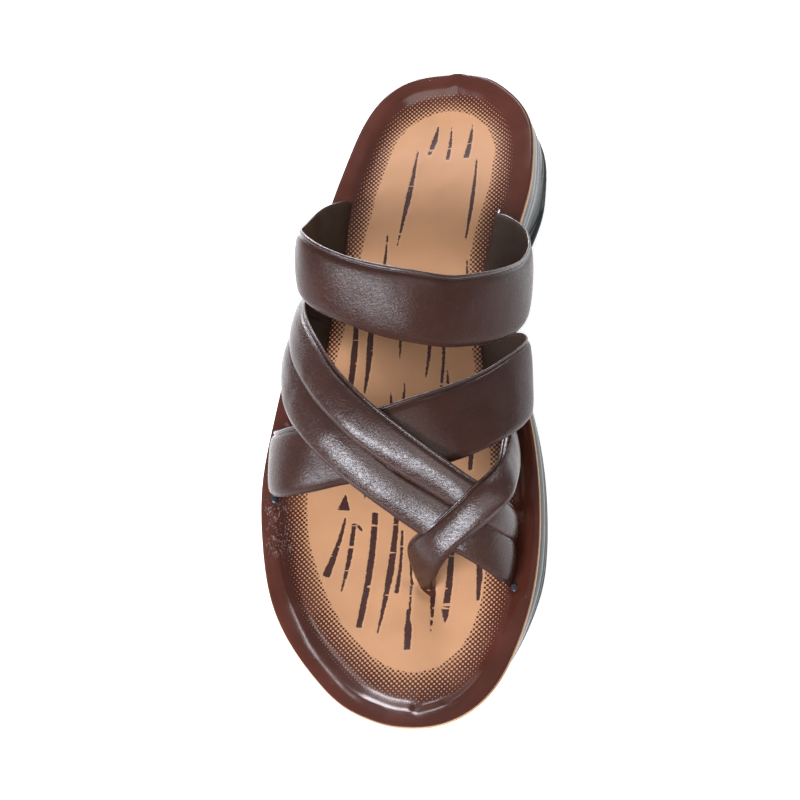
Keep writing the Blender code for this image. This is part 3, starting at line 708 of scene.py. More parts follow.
# Strokes pressed into the footbed, lengthwise.
# columns: x and s of the rear end, x and s of the front end, width at the rear, half way and at the front
STROKES = (
    (-1.0, 24.0, -4.0, 38.5, 0.6, 2.2, 1.4),
    (4.5, 25.0, 3.8, 41.5, 0.3, 1.2, 1.5),
    (13.2, 24.0, 11.5, 41.0, 0.4, 1.7, 2.3),
    (-8.8, 36.5, -14.7, 80.5, 0.5, 2.3, 0.4),
    (16.0, 41.5, 13.0, 79.5, 0.4, 1.7, 0.7),
    (-18.8, 75.5, -21.5, 101.0, 0.5, 1.3, 0.8),
    (13.8, 88.0, 13.0, 106.0, 0.5, 1.0, 0.4),
    (-5.0, 94.0, -6.5, 112.0, 0.6, 1.6, 0.6),
    (-30.8, 104.0, -33.0, 143.0, 1.4, 2.6, 2.2),
    (-24.8, 105.0, -26.5, 140.0, 2.0, 2.6, 0.9),
    (-13.0, 112.0, -13.0, 127.0, 0.9, 1.1, 0.3),
    (-0.8, 113.0, -2.2, 134.0, 1.2, 1.5, 0.7),
    (4.4, 112.0, 4.0, 139.0, 1.0, 1.2, 1.0),
    (6.3, 131.5, 6.8, 147.0, 0.5, 1.6, 1.0),
    (-10.6, 136.0, -11.6, 152.0, 0.4, 1.3, 0.9),
    (-15.8, 140.0, -16.0, 158.0, 0.6, 1.6, 1.2),
    (16.3, 150.0, 16.8, 173.0, 1.2, 2.1, 1.6),
    (-23.5, 172.0, -23.4, 184.5, 1.6, 1.4, 0.4),
    (-31.0, 182.2, -31.4, 188.6, 0.4, 2.6, 5.0),
    (-30.2, 192.0, -35.2, 216.0, 0.9, 1.9, 3.1),
    (-26.6, 194.5, -28.6, 222.0, 1.6, 1.9, 0.7),
    (-27.0, 194.6, -25.2, 194.9, 1.0, 1.1, 1.1),
    (-25.4, 194.7, -23.2, 197.4, 1.1, 1.0, 0.5),
    (-18.8, 189.8, -20.4, 236.4, 2.3, 2.4, 2.2),
    (-10.4, 190.0, -13.2, 238.5, 1.8, 2.7, 0.6),
    (-7.8, 197.0, -7.8, 222.5, 0.9, 1.1, 1.7),
    (-4.0, 206.0, -2.2, 231.0, 0.7, 0.8, 0.9),
    (-3.0, 229.0, -1.7, 244.8, 0.6, 2.7, 2.2),
    (4.6, 212.0, 6.3, 237.5, 2.4, 1.9, 0.4),
    (11.2, 200.0, 11.0, 230.0, 2.0, 2.4, 2.6),
    (10.8, 228.5, 11.3, 234.0, 3.0, 2.2, 0.4),
    (22.0, 206.0, 22.7, 225.6, 2.0, 2.3, 1.0),
)
STROKE_DEPTH = 0.16
STROKE_LIP = 0.03
# A stroke's bow as a share of its length, and the distance given to what is far from any stroke.
STROKE_BOW = 0.018
FAR_FROM_STROKE = 9.0

STROKE_WALL = 0.2
LIP_AWAY = 0.75
LIP_WIDTH = 0.45

# Pleats of the rim: how far its step moves out and where along x. The toe's starts sharply and fades.
TOE_PLEAT = 1.5
TOE_PLEAT_X = 3.2
TOE_PLEAT_SHARP = 0.7
TOE_PLEAT_FADE = 8.0
TOE_PLEAT_FADE_X = 4.0
TOE_PLEAT_FROM = 235.0
HEEL_PLEAT = 1.3
HEEL_PLEAT_X = 6.5
HEEL_PLEAT_WIDE = 2.2
HEEL_PLEAT_TO = 25.0
# How deep the cover is drawn down beside a slot, and how far that reaches.
SLOT_DIP = 0.9
SLOT_DIP_REACH = 2.6

# Scuffed patches of the footbed's rim.
# columns: x, s, half width, half length
SCUFFS = (
    (-57.0, 190.0, 4.0, 6.0),
    (-54.0, 200.0, 5.0, 7.0),
    (-59.0, 172.0, 2.5, 6.0),
)


def stroke_distance(points):
    """Distance from plan points to the nearest pressed stroke, negative inside one."""
    best = np.full(len(points), FAR_FROM_STROKE)
    for x0, s0, x1, s1, rear, middle, front in STROKES:
        way = np.array([x1 - x0, s1 - s0])
        length = np.linalg.norm(way)
        way /= length
        rel = points - (x0, s0)
        along = rel @ way
        t = np.clip(along / length, 0.0, 1.0)
        aside = rel @ np.array([-way[1], way[0]]) + STROKE_BOW * length * np.sin(math.pi * t)
        half = 0.5 * np.interp(t, (0.0, 0.5, 1.0), (rear, middle, front))
        over = np.maximum(-along, along - length)
        best = np.minimum(best, np.maximum(np.abs(aside) - half, over - 0.1))
    return best


def rim_pinch(points):
    """How far the rim's inner step moves outwards, at the pleats of the toe's and the heel's middle."""
    x, s = points.T
    fade = np.exp(-np.maximum(0.0, x - TOE_PLEAT_FADE_X) / TOE_PLEAT_FADE)
    toe = (s > TOE_PLEAT_FROM) * TOE_PLEAT * fade / (1.0 + np.exp(-(x - TOE_PLEAT_X) / TOE_PLEAT_SHARP))
    heel = (s < HEEL_PLEAT_TO) * HEEL_PLEAT * np.exp(-((x - HEEL_PLEAT_X) / HEEL_PLEAT_WIDE) ** 2)
    return toe + heel


def slot_dips(points):
    """How far the cover is drawn down round the straps' slots."""
    dip = np.zeros(len(points))
    for _, slots, _, _ in STRAPS.values():
        for x0, s0, x1, s1 in slots:
            away = segment_distance(points, np.array([x0, s0]), np.array([x1 - x0, s1 - s0]))
            dip = np.maximum(dip, SLOT_DIP * np.exp(-(away / SLOT_DIP_REACH) ** 2))
    return dip


COVER_INSETS = ([0.0, 0.12, 0.3, 0.55, 0.9, 1.3, 1.9, 2.7, 3.6, 4.4] + list(np.arange(5.0, 13.6, 0.45))
                + [14.2, 15.0, 16.0, DISH_REACH])
COVER_UNDER_INSETS = (DISH_REACH, 11.5, 5.0, 0.0)
# Rings from the dish to the spine, counted as this much more inset.
MIDDLE_RINGS = 66
MIDDLE_INSET = 10.0
# columns: height, length and seed of a wave in the cover. They set in from the rim inwards.
COVER_WAVES = ((0.10, 34.0, 3), (0.035, 9.0, 4))
WAVES_FROM = 1.5
WAVES_EASE = 3.0
# Value of the fade where the tan is plain, past the last dot.
PLAIN_FADE = 1.01


def cover_rings(plan):
    """The cover's upper rings from its edge to the spine, as plan points with their inset."""
    rings = [(plan.offset(-inset), inset) for inset in COVER_INSETS]
    for share in np.arange(1, MIDDLE_RINGS + 1) / MIDDLE_RINGS:
        rings.append((plan.towards_spine(DISH_REACH, share), DISH_REACH + MIDDLE_INSET * share))
    flat = np.concatenate([ring for ring, _ in rings])
    return flat, np.repeat([inset for _, inset in rings], len(plan.points))


def footbed_cover(materials):
    plan = Plan(COVER_STATIONS)
    flat, inset = cover_rings(plan)
    share = np.clip((inset - DISH_REACH) / MIDDLE_INSET, 0.0, 1.0)
    drop = bed_drop(inset + rim_pinch(flat)) + (BED_DROP - DISH[-1][1]) * np.sin(0.5 * math.pi * share)
    stroke = stroke_distance(flat)
    press = STROKE_DEPTH / (1.0 + np.exp(np.clip(stroke / STROKE_WALL, -40, 40)))
    lip = STROKE_LIP * np.exp(-((stroke - LIP_AWAY) / LIP_WIDTH) ** 2)
    solid = raise_to(flat, 0.0)
    wave = sum(height * ripple(solid, length, seed) for height, length, seed in COVER_WAVES)
    inner = np.clip((inset - WAVES_FROM) / WAVES_EASE, 0.0, 1.0)
    top = below_rim(flat, drop + press - lip + slot_dips(flat) - inner * wave)

    rings = [below_rim(plan.spine, BED_DROP + COVER_THICKNESS + STROKE_DEPTH)]
    for under_inset in COVER_UNDER_INSETS:
        drop = bed_drop(under_inset) if under_inset else 0.0
        rings.append(below_rim(plan.offset(-under_inset), drop + COVER_THICKNESS))
    below = np.concatenate(rings)
    vertices = np.concatenate([below, top])
    tan_away = polygon_distance(flat, closed_curve(TAN_EDGE, 3, 240))
    from_rim = np.maximum(inset - FADE_INSET, 0.0)
    fade = np.where(tan_away > 0.0, from_rim / (from_rim + np.maximum(tan_away, 1e-6)), PLAIN_FADE)
    scuff = np.zeros(len(flat))
    for x, s, wide, long in SCUFFS:
        scuff = np.maximum(scuff, np.exp(-((flat[:, 0] - x) / wide) ** 2 - ((flat[:, 1] - s) / long) ** 2))
    blank = np.zeros(len(below))
    values = {
        "fade": np.concatenate([blank, fade]),
        "stroke": np.concatenate([blank + FAR_FROM_STROKE, stroke]),
        "scuff": np.concatenate([blank, scuff]),
    }
    size = len(plan.points)
    return mesh_piece("footbed_skin", vertices, ring_faces(len(vertices) // size, size),
                      [materials["print"]], "footbed_cover", values)


# The board is thinner inside its edge, so that the cover never cuts into it.
BOARD_HOLLOW = 1.0
BOARD_HOLLOW_FROM = 3.0
BOARD_EASE = 0.22
# The board follows the dish from here inwards. Outside it stays flat.
BOARD_FLAT = 1.6
BOARD_INSETS = (0.0, 0.25, 1.2, 2.6, 4.0, 6.4, 8.6, 11.5, DISH_REACH)


def insole_board(materials):
    plan = Plan()
    depth = COVER_THICKNESS + GAP
    upper = []
    lower = []
    for inset in BOARD_INSETS:
        ring = plan.offset(BOARD_EDGE_OUT - inset)
        top = depth + bed_drop(max(inset, BOARD_FLAT))
        ease = BOARD_EASE if inset == 0.0 else 0.0
        upper.append(below_rim(ring, top + ease + (BOARD_HOLLOW if inset > BOARD_HOLLOW_FROM else 0.0)))
        lower.append(below_rim(ring, top + BOARD_THICKNESS - ease))
    rings = [below_rim(plan.spine, BED_DROP + depth + BOARD_THICKNESS)] + lower[::-1] + upper
    rings.append(below_rim(plan.spine, BED_DROP + depth + BOARD_HOLLOW))
    return mesh_piece("board_sheet", np.concatenate(rings), ring_faces(len(rings), len(plan.points)),
                      [materials["board"]], "insole_board", sharp=0.9)


# ---------------------------------------------------------------- sole and treads
WALL_GRID = np.linspace(-6.0, 284.0, 291)
WALL_EASE = 5.0
WALL_ROUNDING = 0.42
SOLE_UNDER_SHARES = (0.0, FLAT_SHARE, 0.75, 0.93)
SOLE_TOP_INSETS = (1.6, 5.0, 6.5, 7.6, 8.7, 9.8, 11.0, 12.8, DISH_REACH)


def along_wall(s, row):
    """A value of one level of the wall at s, eased between heel, waist, arch, ball and toe."""
    heel, waist, arch, ball, toe = row
    values = np.interp(WALL_GRID, WALL_PLACES, (heel, waist, arch, ball, ball, toe))
    return np.interp(s, WALL_GRID, softened(WALL_GRID, values, WALL_EASE))


def wall_curve(values):
    """Rows of values from the wall's foot to its top, with rows added and eased between the sharp lines."""
    pieces = []
    for first, last in zip(WALL_SHARP[:-1], WALL_SHARP[1:]):
        grid = np.linspace(first, last, (last - first) * WALL_STEPS + 1)
        rows = np.arange(first, last + 1)
        fine = np.stack([np.interp(grid, rows, column) for column in values[first:last + 1].T], axis=1)
        fine = np.stack([softened(grid, column, WALL_ROUNDING) for column in fine.T], axis=1)
        pieces.append(fine if last == WALL_SHARP[-1] else fine[:-1])
    return np.concatenate(pieces)


def midsole(materials):
    plan = Plan(SOLE_STATIONS)
    depth = COVER_THICKNESS + BOARD_THICKNESS + 2 * GAP
    low = TREAD_THICKNESS + GAP
    edge_s = plan.points[:, 1]
    shares = wall_curve(np.array([along_wall(edge_s, levels) for levels, _ in WALL]))
    swells = wall_curve(np.array([along_wall(edge_s, swell) for _, swell in WALL]))
    top_z = rim_height(edge_s) - depth
    foot = plan.offset(swells[0])
    rings = []
    for share in SOLE_UNDER_SHARES:
        inner = plan.spine + (foot - plan.spine) * share
        rings.append(raise_to(inner, under_height(inner[:, 1]) + low))
    for share, swell in zip(shares, swells):
        flat = plan.offset(swell)
        bottom_z = under_height(flat[:, 1]) + low
        rings.append(raise_to(flat, bottom_z + (top_z - bottom_z) * share))
    rings += [below_rim(plan.offset(-inset), bed_drop(inset) + depth) for inset in SOLE_TOP_INSETS]
    rings.append(below_rim(plan.spine, BED_DROP + depth))
    return mesh_piece("sole_body", np.concatenate(rings), ring_faces(len(rings), len(plan.points)),
                      [materials["sole"]], "midsole", sharp=0.75)


TREAD_INSET = 1.2
TREAD_BEVEL = 0.8
TREAD_LINE = 0.25
RECESS_DEPTH = 1.2
RECESS_HALF = 3.0
RECESS_BORDER = 13.0
GROOVE_PITCH = 3.25
GROOVE_DEPTH = 0.55
GROOVE_HALF = 0.5
GROOVE_EASE = 0.35
GROOVE_BORDER = 4.0
GROOVE_CLEARANCE = 1.4
STEP_WIDTH = 0.06
PAD_TIP = 0.01
# Width from which a pad has room for pockets.
POCKET_WIDTH = 2 * RECESS_BORDER + 6.0
# Distances from a pad's side to its columns of points, and the columns between the two sides.
PAD_INSETS = (0.0, TREAD_BEVEL * 0.5, TREAD_BEVEL, 1.6, GROOVE_BORDER - 0.4, GROOVE_BORDER + 0.4, 6.5, 9.0,
              11.5, RECESS_BORDER - STEP_WIDTH, RECESS_BORDER + STEP_WIDTH)
PAD_MIDDLE = 15
# Rows round a pad's wall, as shares of its height above the bevel and how far each is drawn in.
PAD_BELTS = ((0.42, 0.0), (0.5, TREAD_LINE), (0.58, 0.0))
# Distances from a pad's rounded end, and the least distance between two rows.
PAD_ENDS = (0.0, 0.04, 0.15, 0.35, 0.6)
PAD_LEAST_STEP = 0.03
# columns: piece, node, straight ends, middles of the pockets, notches as middle and half width,
# s between which it is grooved, s between which it stays plain
PADS = (
    ("tread_heel_pad", "tread_heel", (None, 98.0), (15.0, 28.0, 52.0, 65.0, 78.0), (),
     (4.0, 98.0), (35.0, 47.0)),
    ("tread_front_pad", "tread_forefoot", (107.0, None),
     (119.0, 132.0, 145.0, 177.0, 205.0, 218.0, 231.0, 244.0), ((191.0, 2.5),),
     (110.5, 262.0), (155.0, 167.0)),
)


def pad_rows(first, last, recesses, notches):
    """Places along a tread pad, closer together at rounded ends and at each pocket's walls."""
    rows = list(np.arange(first + 1.0, last - 0.5, 1.0))
    rows += [first + e for e in PAD_ENDS] + [last - e for e in PAD_ENDS]
    for middle, half in [(s, RECESS_HALF) for s in recesses] + list(notches):
        for side in (-1, 1):
            rows += [middle + side * (half - STEP_WIDTH), middle + side * (half + STEP_WIDTH)]
    rows = np.unique(np.round(rows, 4))
    kept = [rows[0]]
    for row in rows[1:]:
        if row - kept[-1] >= PAD_LEAST_STEP:
            kept.append(row)
    return np.array(kept)


def pad_sides(edge):
    """The lateral and the medial side of a closed edge, each from heel to toe."""
    turned = np.roll(edge, -int(np.argmin(edge[:, 1])), axis=0)
    toe = int(np.argmax(turned[:, 1]))
    sides = [turned[:toe + 1], np.concatenate([turned[toe:], turned[:1]])[::-1]]
    return sorted(sides, key=lambda side: side[:, 0].mean())


def pad_depths(s, across, width, recesses, grooves, notches):
    """How deep the pockets and the grooves are cut at each point of a pad."""
    inset = np.minimum(across, width - across)
    deep = np.zeros(s.shape)
    wide = width >= POCKET_WIDTH
    for centre in recesses:
        inside = (np.abs(s - centre) < RECESS_HALF) & (inset > RECESS_BORDER) & wide
        deep = np.where(inside, RECESS_DEPTH, deep)
    for centre, half in notches:
        deep = np.where(np.abs(s - centre) < half, RECESS_DEPTH, deep)
    for centre in grooves:
        shape = np.clip(1.0 - np.abs(s - centre) / (GROOVE_HALF + GROOVE_EASE), 0.0, 1.0)
        deep = np.maximum(deep, GROOVE_DEPTH * shape * (inset > GROOVE_BORDER))
    return deep


def pad_grooves(span, plain, recesses, notches):
    """Places of a pad's grooves, clear of its pockets, its notches and the plain contact patch."""
    walls = list(recesses) + [centre for centre, _ in notches]
    return [s for s in np.arange(*span, GROOVE_PITCH) if not plain[0] < s < plain[1]
            and min(abs(s - centre) for centre in walls) >= RECESS_HALF + GROOVE_CLEARANCE]


def tread_pad(row, materials):
    """A tread pad as rows across it: pockets and grooves below, a fine line round its edge."""
    name, node, (start, end), recesses, notches, grooved, plain = row
    edge = Plan(TREAD_STATIONS)
    edge = edge.offset(along_wall(edge.points[:, 1], WALL[0][1]) - TREAD_INSET)
    sides = pad_sides(edge)
    first = edge[:, 1].min() + PAD_TIP if start is None else start
    last = edge[:, 1].max() - PAD_TIP if end is None else end
    rows = pad_rows(first, last, recesses, notches)
    lateral, medial = [np.interp(rows, side[:, 1], side[:, 0]) for side in sides]
    width = (medial - lateral)[:, None]
    left = np.array(PAD_INSETS) * np.minimum(1.0, width / POCKET_WIDTH)
    inside = left[:, -1:] + (width - 2 * left[:, -1:]) * np.linspace(0.0, 1.0, PAD_MIDDLE)[1:-1]
    across = np.concatenate([left, inside, width - left[:, ::-1]], axis=1)
    x = lateral[:, None] + across
    s = np.broadcast_to(rows[:, None], x.shape)
    flat = np.stack([x.ravel(), s.ravel()], axis=1)
    outline = np.concatenate([sides[0], sides[1][::-1]])
    from_edge = np.abs(polygon_distance(flat, outline)).reshape(x.shape)
    for cut in (start, end):
        if cut is not None:
            from_edge = np.minimum(from_edge, np.abs(s - cut))
    grooves = pad_grooves(grooved, plain, recesses, notches)
    depths = pad_depths(s, across, width, recesses, grooves, notches)
    under = under_height(s)
    lower = raise_to(flat, (under + np.maximum(np.maximum(0.0, TREAD_BEVEL - from_edge), depths)).ravel())
    upper = raise_to(flat, (under + TREAD_THICKNESS).ravel())

    size = x.size
    grid = np.arange(size).reshape(x.shape)
    rim = np.concatenate([grid[0], grid[1:, -1], grid[-1, -2::-1], grid[-2:0:-1, 0]])
    inward = unit(flat.mean(axis=0) - flat[rim])
    belts = []
    for share, pull in PAD_BELTS:
        z = under.ravel()[rim] + TREAD_BEVEL + (TREAD_THICKNESS - TREAD_BEVEL) * share
        belts.append(raise_to(flat[rim] + inward * pull, z))
    quads = np.stack([grid[:-1, :-1], grid[:-1, 1:], grid[1:, 1:], grid[1:, :-1]], axis=-1).reshape(-1, 4)
    levels = [rim] + [2 * size + k * len(rim) + np.arange(len(rim)) for k in range(len(belts))] + [size + rim]
    faces = [np.stack([quads, quads + size], axis=1).reshape(-1, 4)]
    for low, high in zip(levels[:-1], levels[1:]):
        faces.append(np.stack([low, np.roll(low, -1), np.roll(high, -1), high], axis=1))
    return mesh_piece(name, np.concatenate([lower, upper] + belts), np.concatenate(faces),
                      [materials["tread"]], node, sharp=0.6)


# ---------------------------------------------------------------- straps
OUTER_STEPS = 22
INNER_STEPS = 8
# Section at a strap's rear side: the padded body's shoulder, a groove, then the turned edge below it.
# columns: distance in from the side, height from the crown
REAR_SECTION = (
    (4.60, -0.52),
    (4.00, -0.62),
    (3.45, -0.77),
    (2.98, -0.96),
    (2.58, -1.19),
    (2.26, -1.45),
    (2.02, -1.74),
    (1.86, -2.00),
    (1.72, -2.08),
    (1.58, -1.98),
    (1.40, -1.78),
    (1.12, -1.62),
    (0.80, -1.58),
    (0.48, -1.68),
    (0.20, -1.92),
    (0.04, -2.24),
    (0.08, -2.56),
    (0.40, -2.79),
)
# Its front side rolls over smoothly to a thin line above the lining.
FRONT_SECTION = (
    (3.60, -0.50),
    (3.00, -0.60),
    (2.45, -0.74),
    (1.95, -0.92),
    (1.50, -1.14),
    (1.10, -1.40),
    (0.78, -1.68),
    (0.52, -1.96),
    (0.36, -2.18),
    (0.36, -2.28),
    (0.26, -2.32),
    (0.12, -2.36),
    (0.03, -2.43),
    (0.00, -2.52),
    (0.03, -2.62),
    (0.12, -2.71),
    (0.28, -2.77),
    (0.50, -2.79),
)
# Half width below which a strap's edges are drawn closer, and how far at most.
NARROW_HALF = 10.0
NARROWEST_SHARE = 0.62
LINING_INSET = 0.7
CROWN_POWER = 2.6
# Waves of the outer face and of the strap's course, as height, length and step of the seed.
FACE_WAVES = ((0.10, 24.0, 0), (0.018, 8.0, 1))
COURSE_WAVE = (0.14, 21.0, 2)
# Depth below the crown at which the face's waves end, and how they set in from the slots.
WAVES_DEPTH = 1.9
CALM_END = 6.0
CALM_EASE = 10.0
# Height from the crown below which the rear side counts as its turned edge.
EDGE_FROM = -1.3
# Straps of the duller leather.
BANDS = ("instep_band", "wide_strap")


def strap_section(half, side):
    """Half of a strap's section for each half width, from the crown to the inner face's middle.

    Gives the places across, the heights, and 0 for the leather or 1 for the lining.
    """
    half = np.reshape(half, (-1, 1))
    squeeze = np.clip(half / NARROW_HALF, NARROWEST_SHARE, 1.0)
    crown_in, crown_drop = side[0]
    share = np.linspace(0.0, 1.0, OUTER_STEPS + 1)[None, :-1]
    places = [share * (half - crown_in * squeeze)]
    heights = [np.broadcast_to(crown_drop * share ** CROWN_POWER, (len(half), OUTER_STEPS))]
    for inward, height in side:
        places.append(half - inward * squeeze)
        heights.append(np.full_like(half, height))
    inner = np.linspace(1.0, 0.0, INNER_STEPS + 1)[None, 1:]
    places.append(inner * (half - LINING_INSET))
    heights.append(np.full((len(half), INNER_STEPS), -STRAP_THICKNESS))
    places = np.concatenate(places, axis=1)
    heights = np.concatenate(heights, axis=1)
    kinds = np.zeros(places.shape[1])
    kinds[-INNER_STEPS:] = 1
    return places, heights, kinds


def slot_ends(slot):
    """Two sections at one end of a strap: its buried end, then where it leaves the footbed."""
    rear_x, rear_s, front_x, front_s = slot
    rows = []
    for rise in (-ANCHOR_DEPTH, SLOT_RISE):
        row = []
        for x, s in ((rear_x, rear_s), (front_x, front_s)):
            inset = abs(polygon_distance(np.array([[x, s]]), EDGE_LOOP)[0])
            row += [x, s, rim_height(s) - bed_drop(inset, BED_DROP) + rise]
        rows.append(row)
    return rows


def strap_frame(rows, slots, tuck):
    """Middle line, half width, sideways and outward directions along a strap, at an even pitch."""
    table = np.array(slot_ends(slots[0]) + list(rows) + slot_ends(slots[1])[::-1])
    for rise, first in ((1, 2), (-2, -3)):
        for k in (0, 1, 3, 4):
            table[rise, k] += LEAN * (table[first, k] - table[rise, k])
    middle = 0.5 * (table[:, :3] + table[:, 3:])
    pace = np.sqrt(np.linalg.norm(np.diff(middle, axis=0), axis=1))
    knots = np.concatenate([[0.0], np.cumsum(pace)])
    fine = np.linspace(0.0, knots[-1], 2001)
    line = np.stack([spline(knots, middle[:, k], fine) for k in range(3)], axis=1)
    travel = run_length(line)
    count = int(travel[-1] / STRAP_PITCH) + 1
    at = np.interp(np.linspace(0.0, travel[-1], count), travel, fine)
    edges = np.stack([spline(knots, table[:, k], at) for k in range(6)], axis=1)
    across = edges[:, 3:] - edges[:, :3]
    width = np.linalg.norm(across, axis=1)
    across /= width[:, None]
    rear = edges[:, :3] - across * tuck
    middle = 0.5 * (rear + edges[:, 3:])
    outward = unit(np.cross(across, unit(np.gradient(middle, axis=0))))
    under_arch = np.array([np.mean(table[:, 0]), np.mean(table[:, 1]), np.min(table[:, 2])])
    outward *= np.sign(np.sum(outward * (middle - under_arch)))
    travel = np.linspace(0.0, travel[-1], count)
    return middle, 0.5 * (width + tuck), across, outward, travel


# Creases across the straps.
# columns: strap, way along it as a share, its slant, place of its middle across, half length across,
# half width, height (below 0 for a trough)
CREASES = (
    ("instep_band", 0.43, 0.10, -0.2, 0.7, 3.4, -0.08),
    ("instep_band", 0.49, -0.15, 0.3, 0.6, 3.8, 0.08),
    ("instep_band", 0.56, 0.20, 0.0, 0.8, 3.2, -0.08),
    ("instep_band", 0.63, 0.00, -0.3, 0.5, 3.6, 0.10),
    ("rear_strip", 0.38, 0.30, 0.0, 0.9, 2.6, -0.14),
    ("rear_strip", 0.52, -0.20, 0.2, 0.7, 2.6, 0.12),
    ("rear_strip", 0.66, 0.25, -0.2, 0.8, 2.8, -0.14),
    ("front_strip", 0.35, 0.25, 0.1, 0.9, 2.8, -0.14),
    ("front_strip", 0.48, -0.10, 0.0, 0.8, 2.4, 0.12),
    ("front_strip", 0.62, 0.30, -0.1, 0.9, 2.6, -0.15),
    ("wide_strap", 0.30, 0.20, 0.2, 0.5, 3.2, -0.22),
    ("wide_strap", 0.40, -0.10, -0.2, 0.7, 3.4, 0.18),
    ("wide_strap", 0.50, 0.15, 0.1, 0.8, 2.8, -0.16),
    ("wide_strap", 0.60, 0.00, 0.3, 0.5, 3.2, 0.16),
    ("toe_loop", 0.34, 0.20, 0.0, 0.9, 2.6, -0.12),
    ("toe_loop", 0.70, 0.10, 0.0, 0.9, 2.2, -0.12),
)


def crease_lift(name, travel, place, half):
    """How far a strap's outer face rises or sinks at each point along and across it."""
    lift = np.zeros(np.broadcast(travel, place).shape)
    for strap, share, slant, middle, reach, wide, height in CREASES:
        if strap != name:
            continue
        along = travel - share * travel.max() - slant * place * half
        ends = np.exp(-(np.abs(place - middle) / reach) ** 4)
        lift += height * np.exp(-(along / wide) ** 2) * ends
    return lift


def strap_piece(name, materials):
    rows, slots, tuck, node = STRAPS[name]
    middle, half, across, outward, travel = strap_frame(rows, slots, tuck)
    places, heights, kinds = strap_section(half, FRONT_SECTION)
    rear_places, rear_heights, _ = strap_section(half, REAR_SECTION)
    place = np.concatenate([places, -rear_places[:, -2:0:-1]], axis=1)
    height = np.concatenate([heights, rear_heights[:, -2:0:-1]], axis=1)
    kind = np.concatenate([kinds, kinds[-2:0:-1]])
    size = place.shape[1]
    points = (middle[:, None, :] + across[:, None, :] * place[:, :, None]
              + outward[:, None, :] * height[:, :, None])
    flat = points.reshape(-1, 3)
    outer = (kind == 0)[None, :] * np.clip(height + WAVES_DEPTH, 0.0, 1.0)
    seed = sum(name.encode())
    lift = sum(rise * ripple(flat, length, seed + step) for rise, length, step in FACE_WAVES)
    wide = half[:, None]
    lift = lift.reshape(place.shape) + crease_lift(name, travel[:, None], place / wide, wide)
    away = np.minimum(travel, travel[-1] - travel)[:, None]
    lift = lift * outer * np.clip((away - CALM_END) / CALM_EASE, 0.0, 1.0)
    rise, length, step = COURSE_WAVE
    wander = rise * ripple(middle, length, seed + step)[:, None, None]
    points = points + outward[:, None, :] * lift[:, :, None] + across[:, None, :] * wander
    caps = points[[0, -1]].mean(axis=1)
    vertices = np.concatenate([points.reshape(-1, 3), caps])
    last = (len(points) - 1) * size
    ends = [(len(vertices) - 2, (i + 1) % size, i) for i in range(size)]
    ends += [(len(vertices) - 1, last + i, last + (i + 1) % size) for i in range(size)]
    strip_kind = np.maximum(kind, np.roll(kind, -1))
    turned = (kind == 0) & (place[0] < 0.0) & (height[0] < EDGE_FROM)
    strip_kind = np.where(turned & np.roll(turned, -1), 2, strip_kind)
    face_kind = np.concatenate([np.tile(strip_kind, len(points) - 1), np.zeros(len(ends))])
    faces = ring_faces(len(points), size).tolist() + ends
    layers = [materials["band" if name in BANDS else "leather"], materials["lining"], materials["edge"]]
    return mesh_piece(name, vertices, faces, layers, node, face_material=face_kind)


# Beads of cement at the corners of the slots.
# columns: x, s, rise above the footbed's rim, length, width, height, turn in degrees
BEADS = (
    (-58.2, 184.6, -0.6, 2.6, 1.5, 1.1, 80.0),
    (36.0, 221.5, -1.9, 2.2, 1.3, 1.2, 70.0),
    (-36.2, 60.6, -2.4, 2.0, 1.3, 1.0, 75.0),
    (26.4, 69.6, -3.2, 2.2, 1.4, 1.1, 100.0),
    (22.6, 120.0, -3.4, 1.8, 1.2, 0.9, 90.0),
)


BEAD_RINGS = 12
BEAD_SIDES = 20
BEAD_LUMPS = 0.12
BEAD_LUMP_LENGTH = 2.4
BEAD_SEED = 90


def cement_bead(index, row, materials):
    """One lumpy bead: an uneven ball, stretched, turned and set at a slot's corner."""
    x, s, rise, length, width, height, turn = row
    tilt = np.repeat(np.arange(BEAD_RINGS + 1) * math.pi / BEAD_RINGS, BEAD_SIDES)
    spin = np.tile(np.arange(BEAD_SIDES) * 2 * math.pi / BEAD_SIDES, BEAD_RINGS + 1)
    shape = np.stack([np.sin(tilt) * np.cos(spin), np.sin(tilt) * np.sin(spin), -np.cos(tilt)], axis=1)
    shape *= (1.0 + BEAD_LUMPS * ripple(shape * 2.0, BEAD_LUMP_LENGTH, BEAD_SEED + index))[:, None]
    shape *= (length, width, height)
    shape = shape @ np.array(Matrix.Rotation(math.radians(turn), 3, "Z")).T
    shape += (x, s, rim_height(s) + rise)
    mesh_piece(f"cement_bead_{index}", shape, ring_faces(BEAD_RINGS + 1, BEAD_SIDES), [materials["cement"]],
               None)


# ---------------------------------------------------------------- scene
# columns: name, azimuth and elevation in degrees, distance, width and height in metres, brightness, colour
LAMPS = (
    ("window", -125.0, 38.5, 3.0, (2.2, 0.65), 31.0, (0.86, 0.91, 1.0)),
    ("window_glow", -122.0, 44.0, 3.1, (3.2, 1.7), 0.6, (0.93, 0.96, 1.0)),
    ("overhead", -66.0, 66.0, 3.0, (2.4, 1.7), 2.5, (1.0, 0.99, 0.97)),
    ("heel_panel", 103.0, 9.5, 3.0, (1.5, 0.95), 22.0, (0.97, 0.93, 1.0)),
    ("heel_bar", 84.0, 36.0, 3.0, (1.0, 0.25), 14.0, (0.95, 0.97, 1.0)),
    ("right_strip", 14.0, 24.0, 3.0, (2.0, 0.3), 4.0, (0.90, 1.0, 0.97)),
)

FLOOR_REACH = 6.0
FLOOR_GLOW = 0.65
SKY_STRENGTH = 0.33


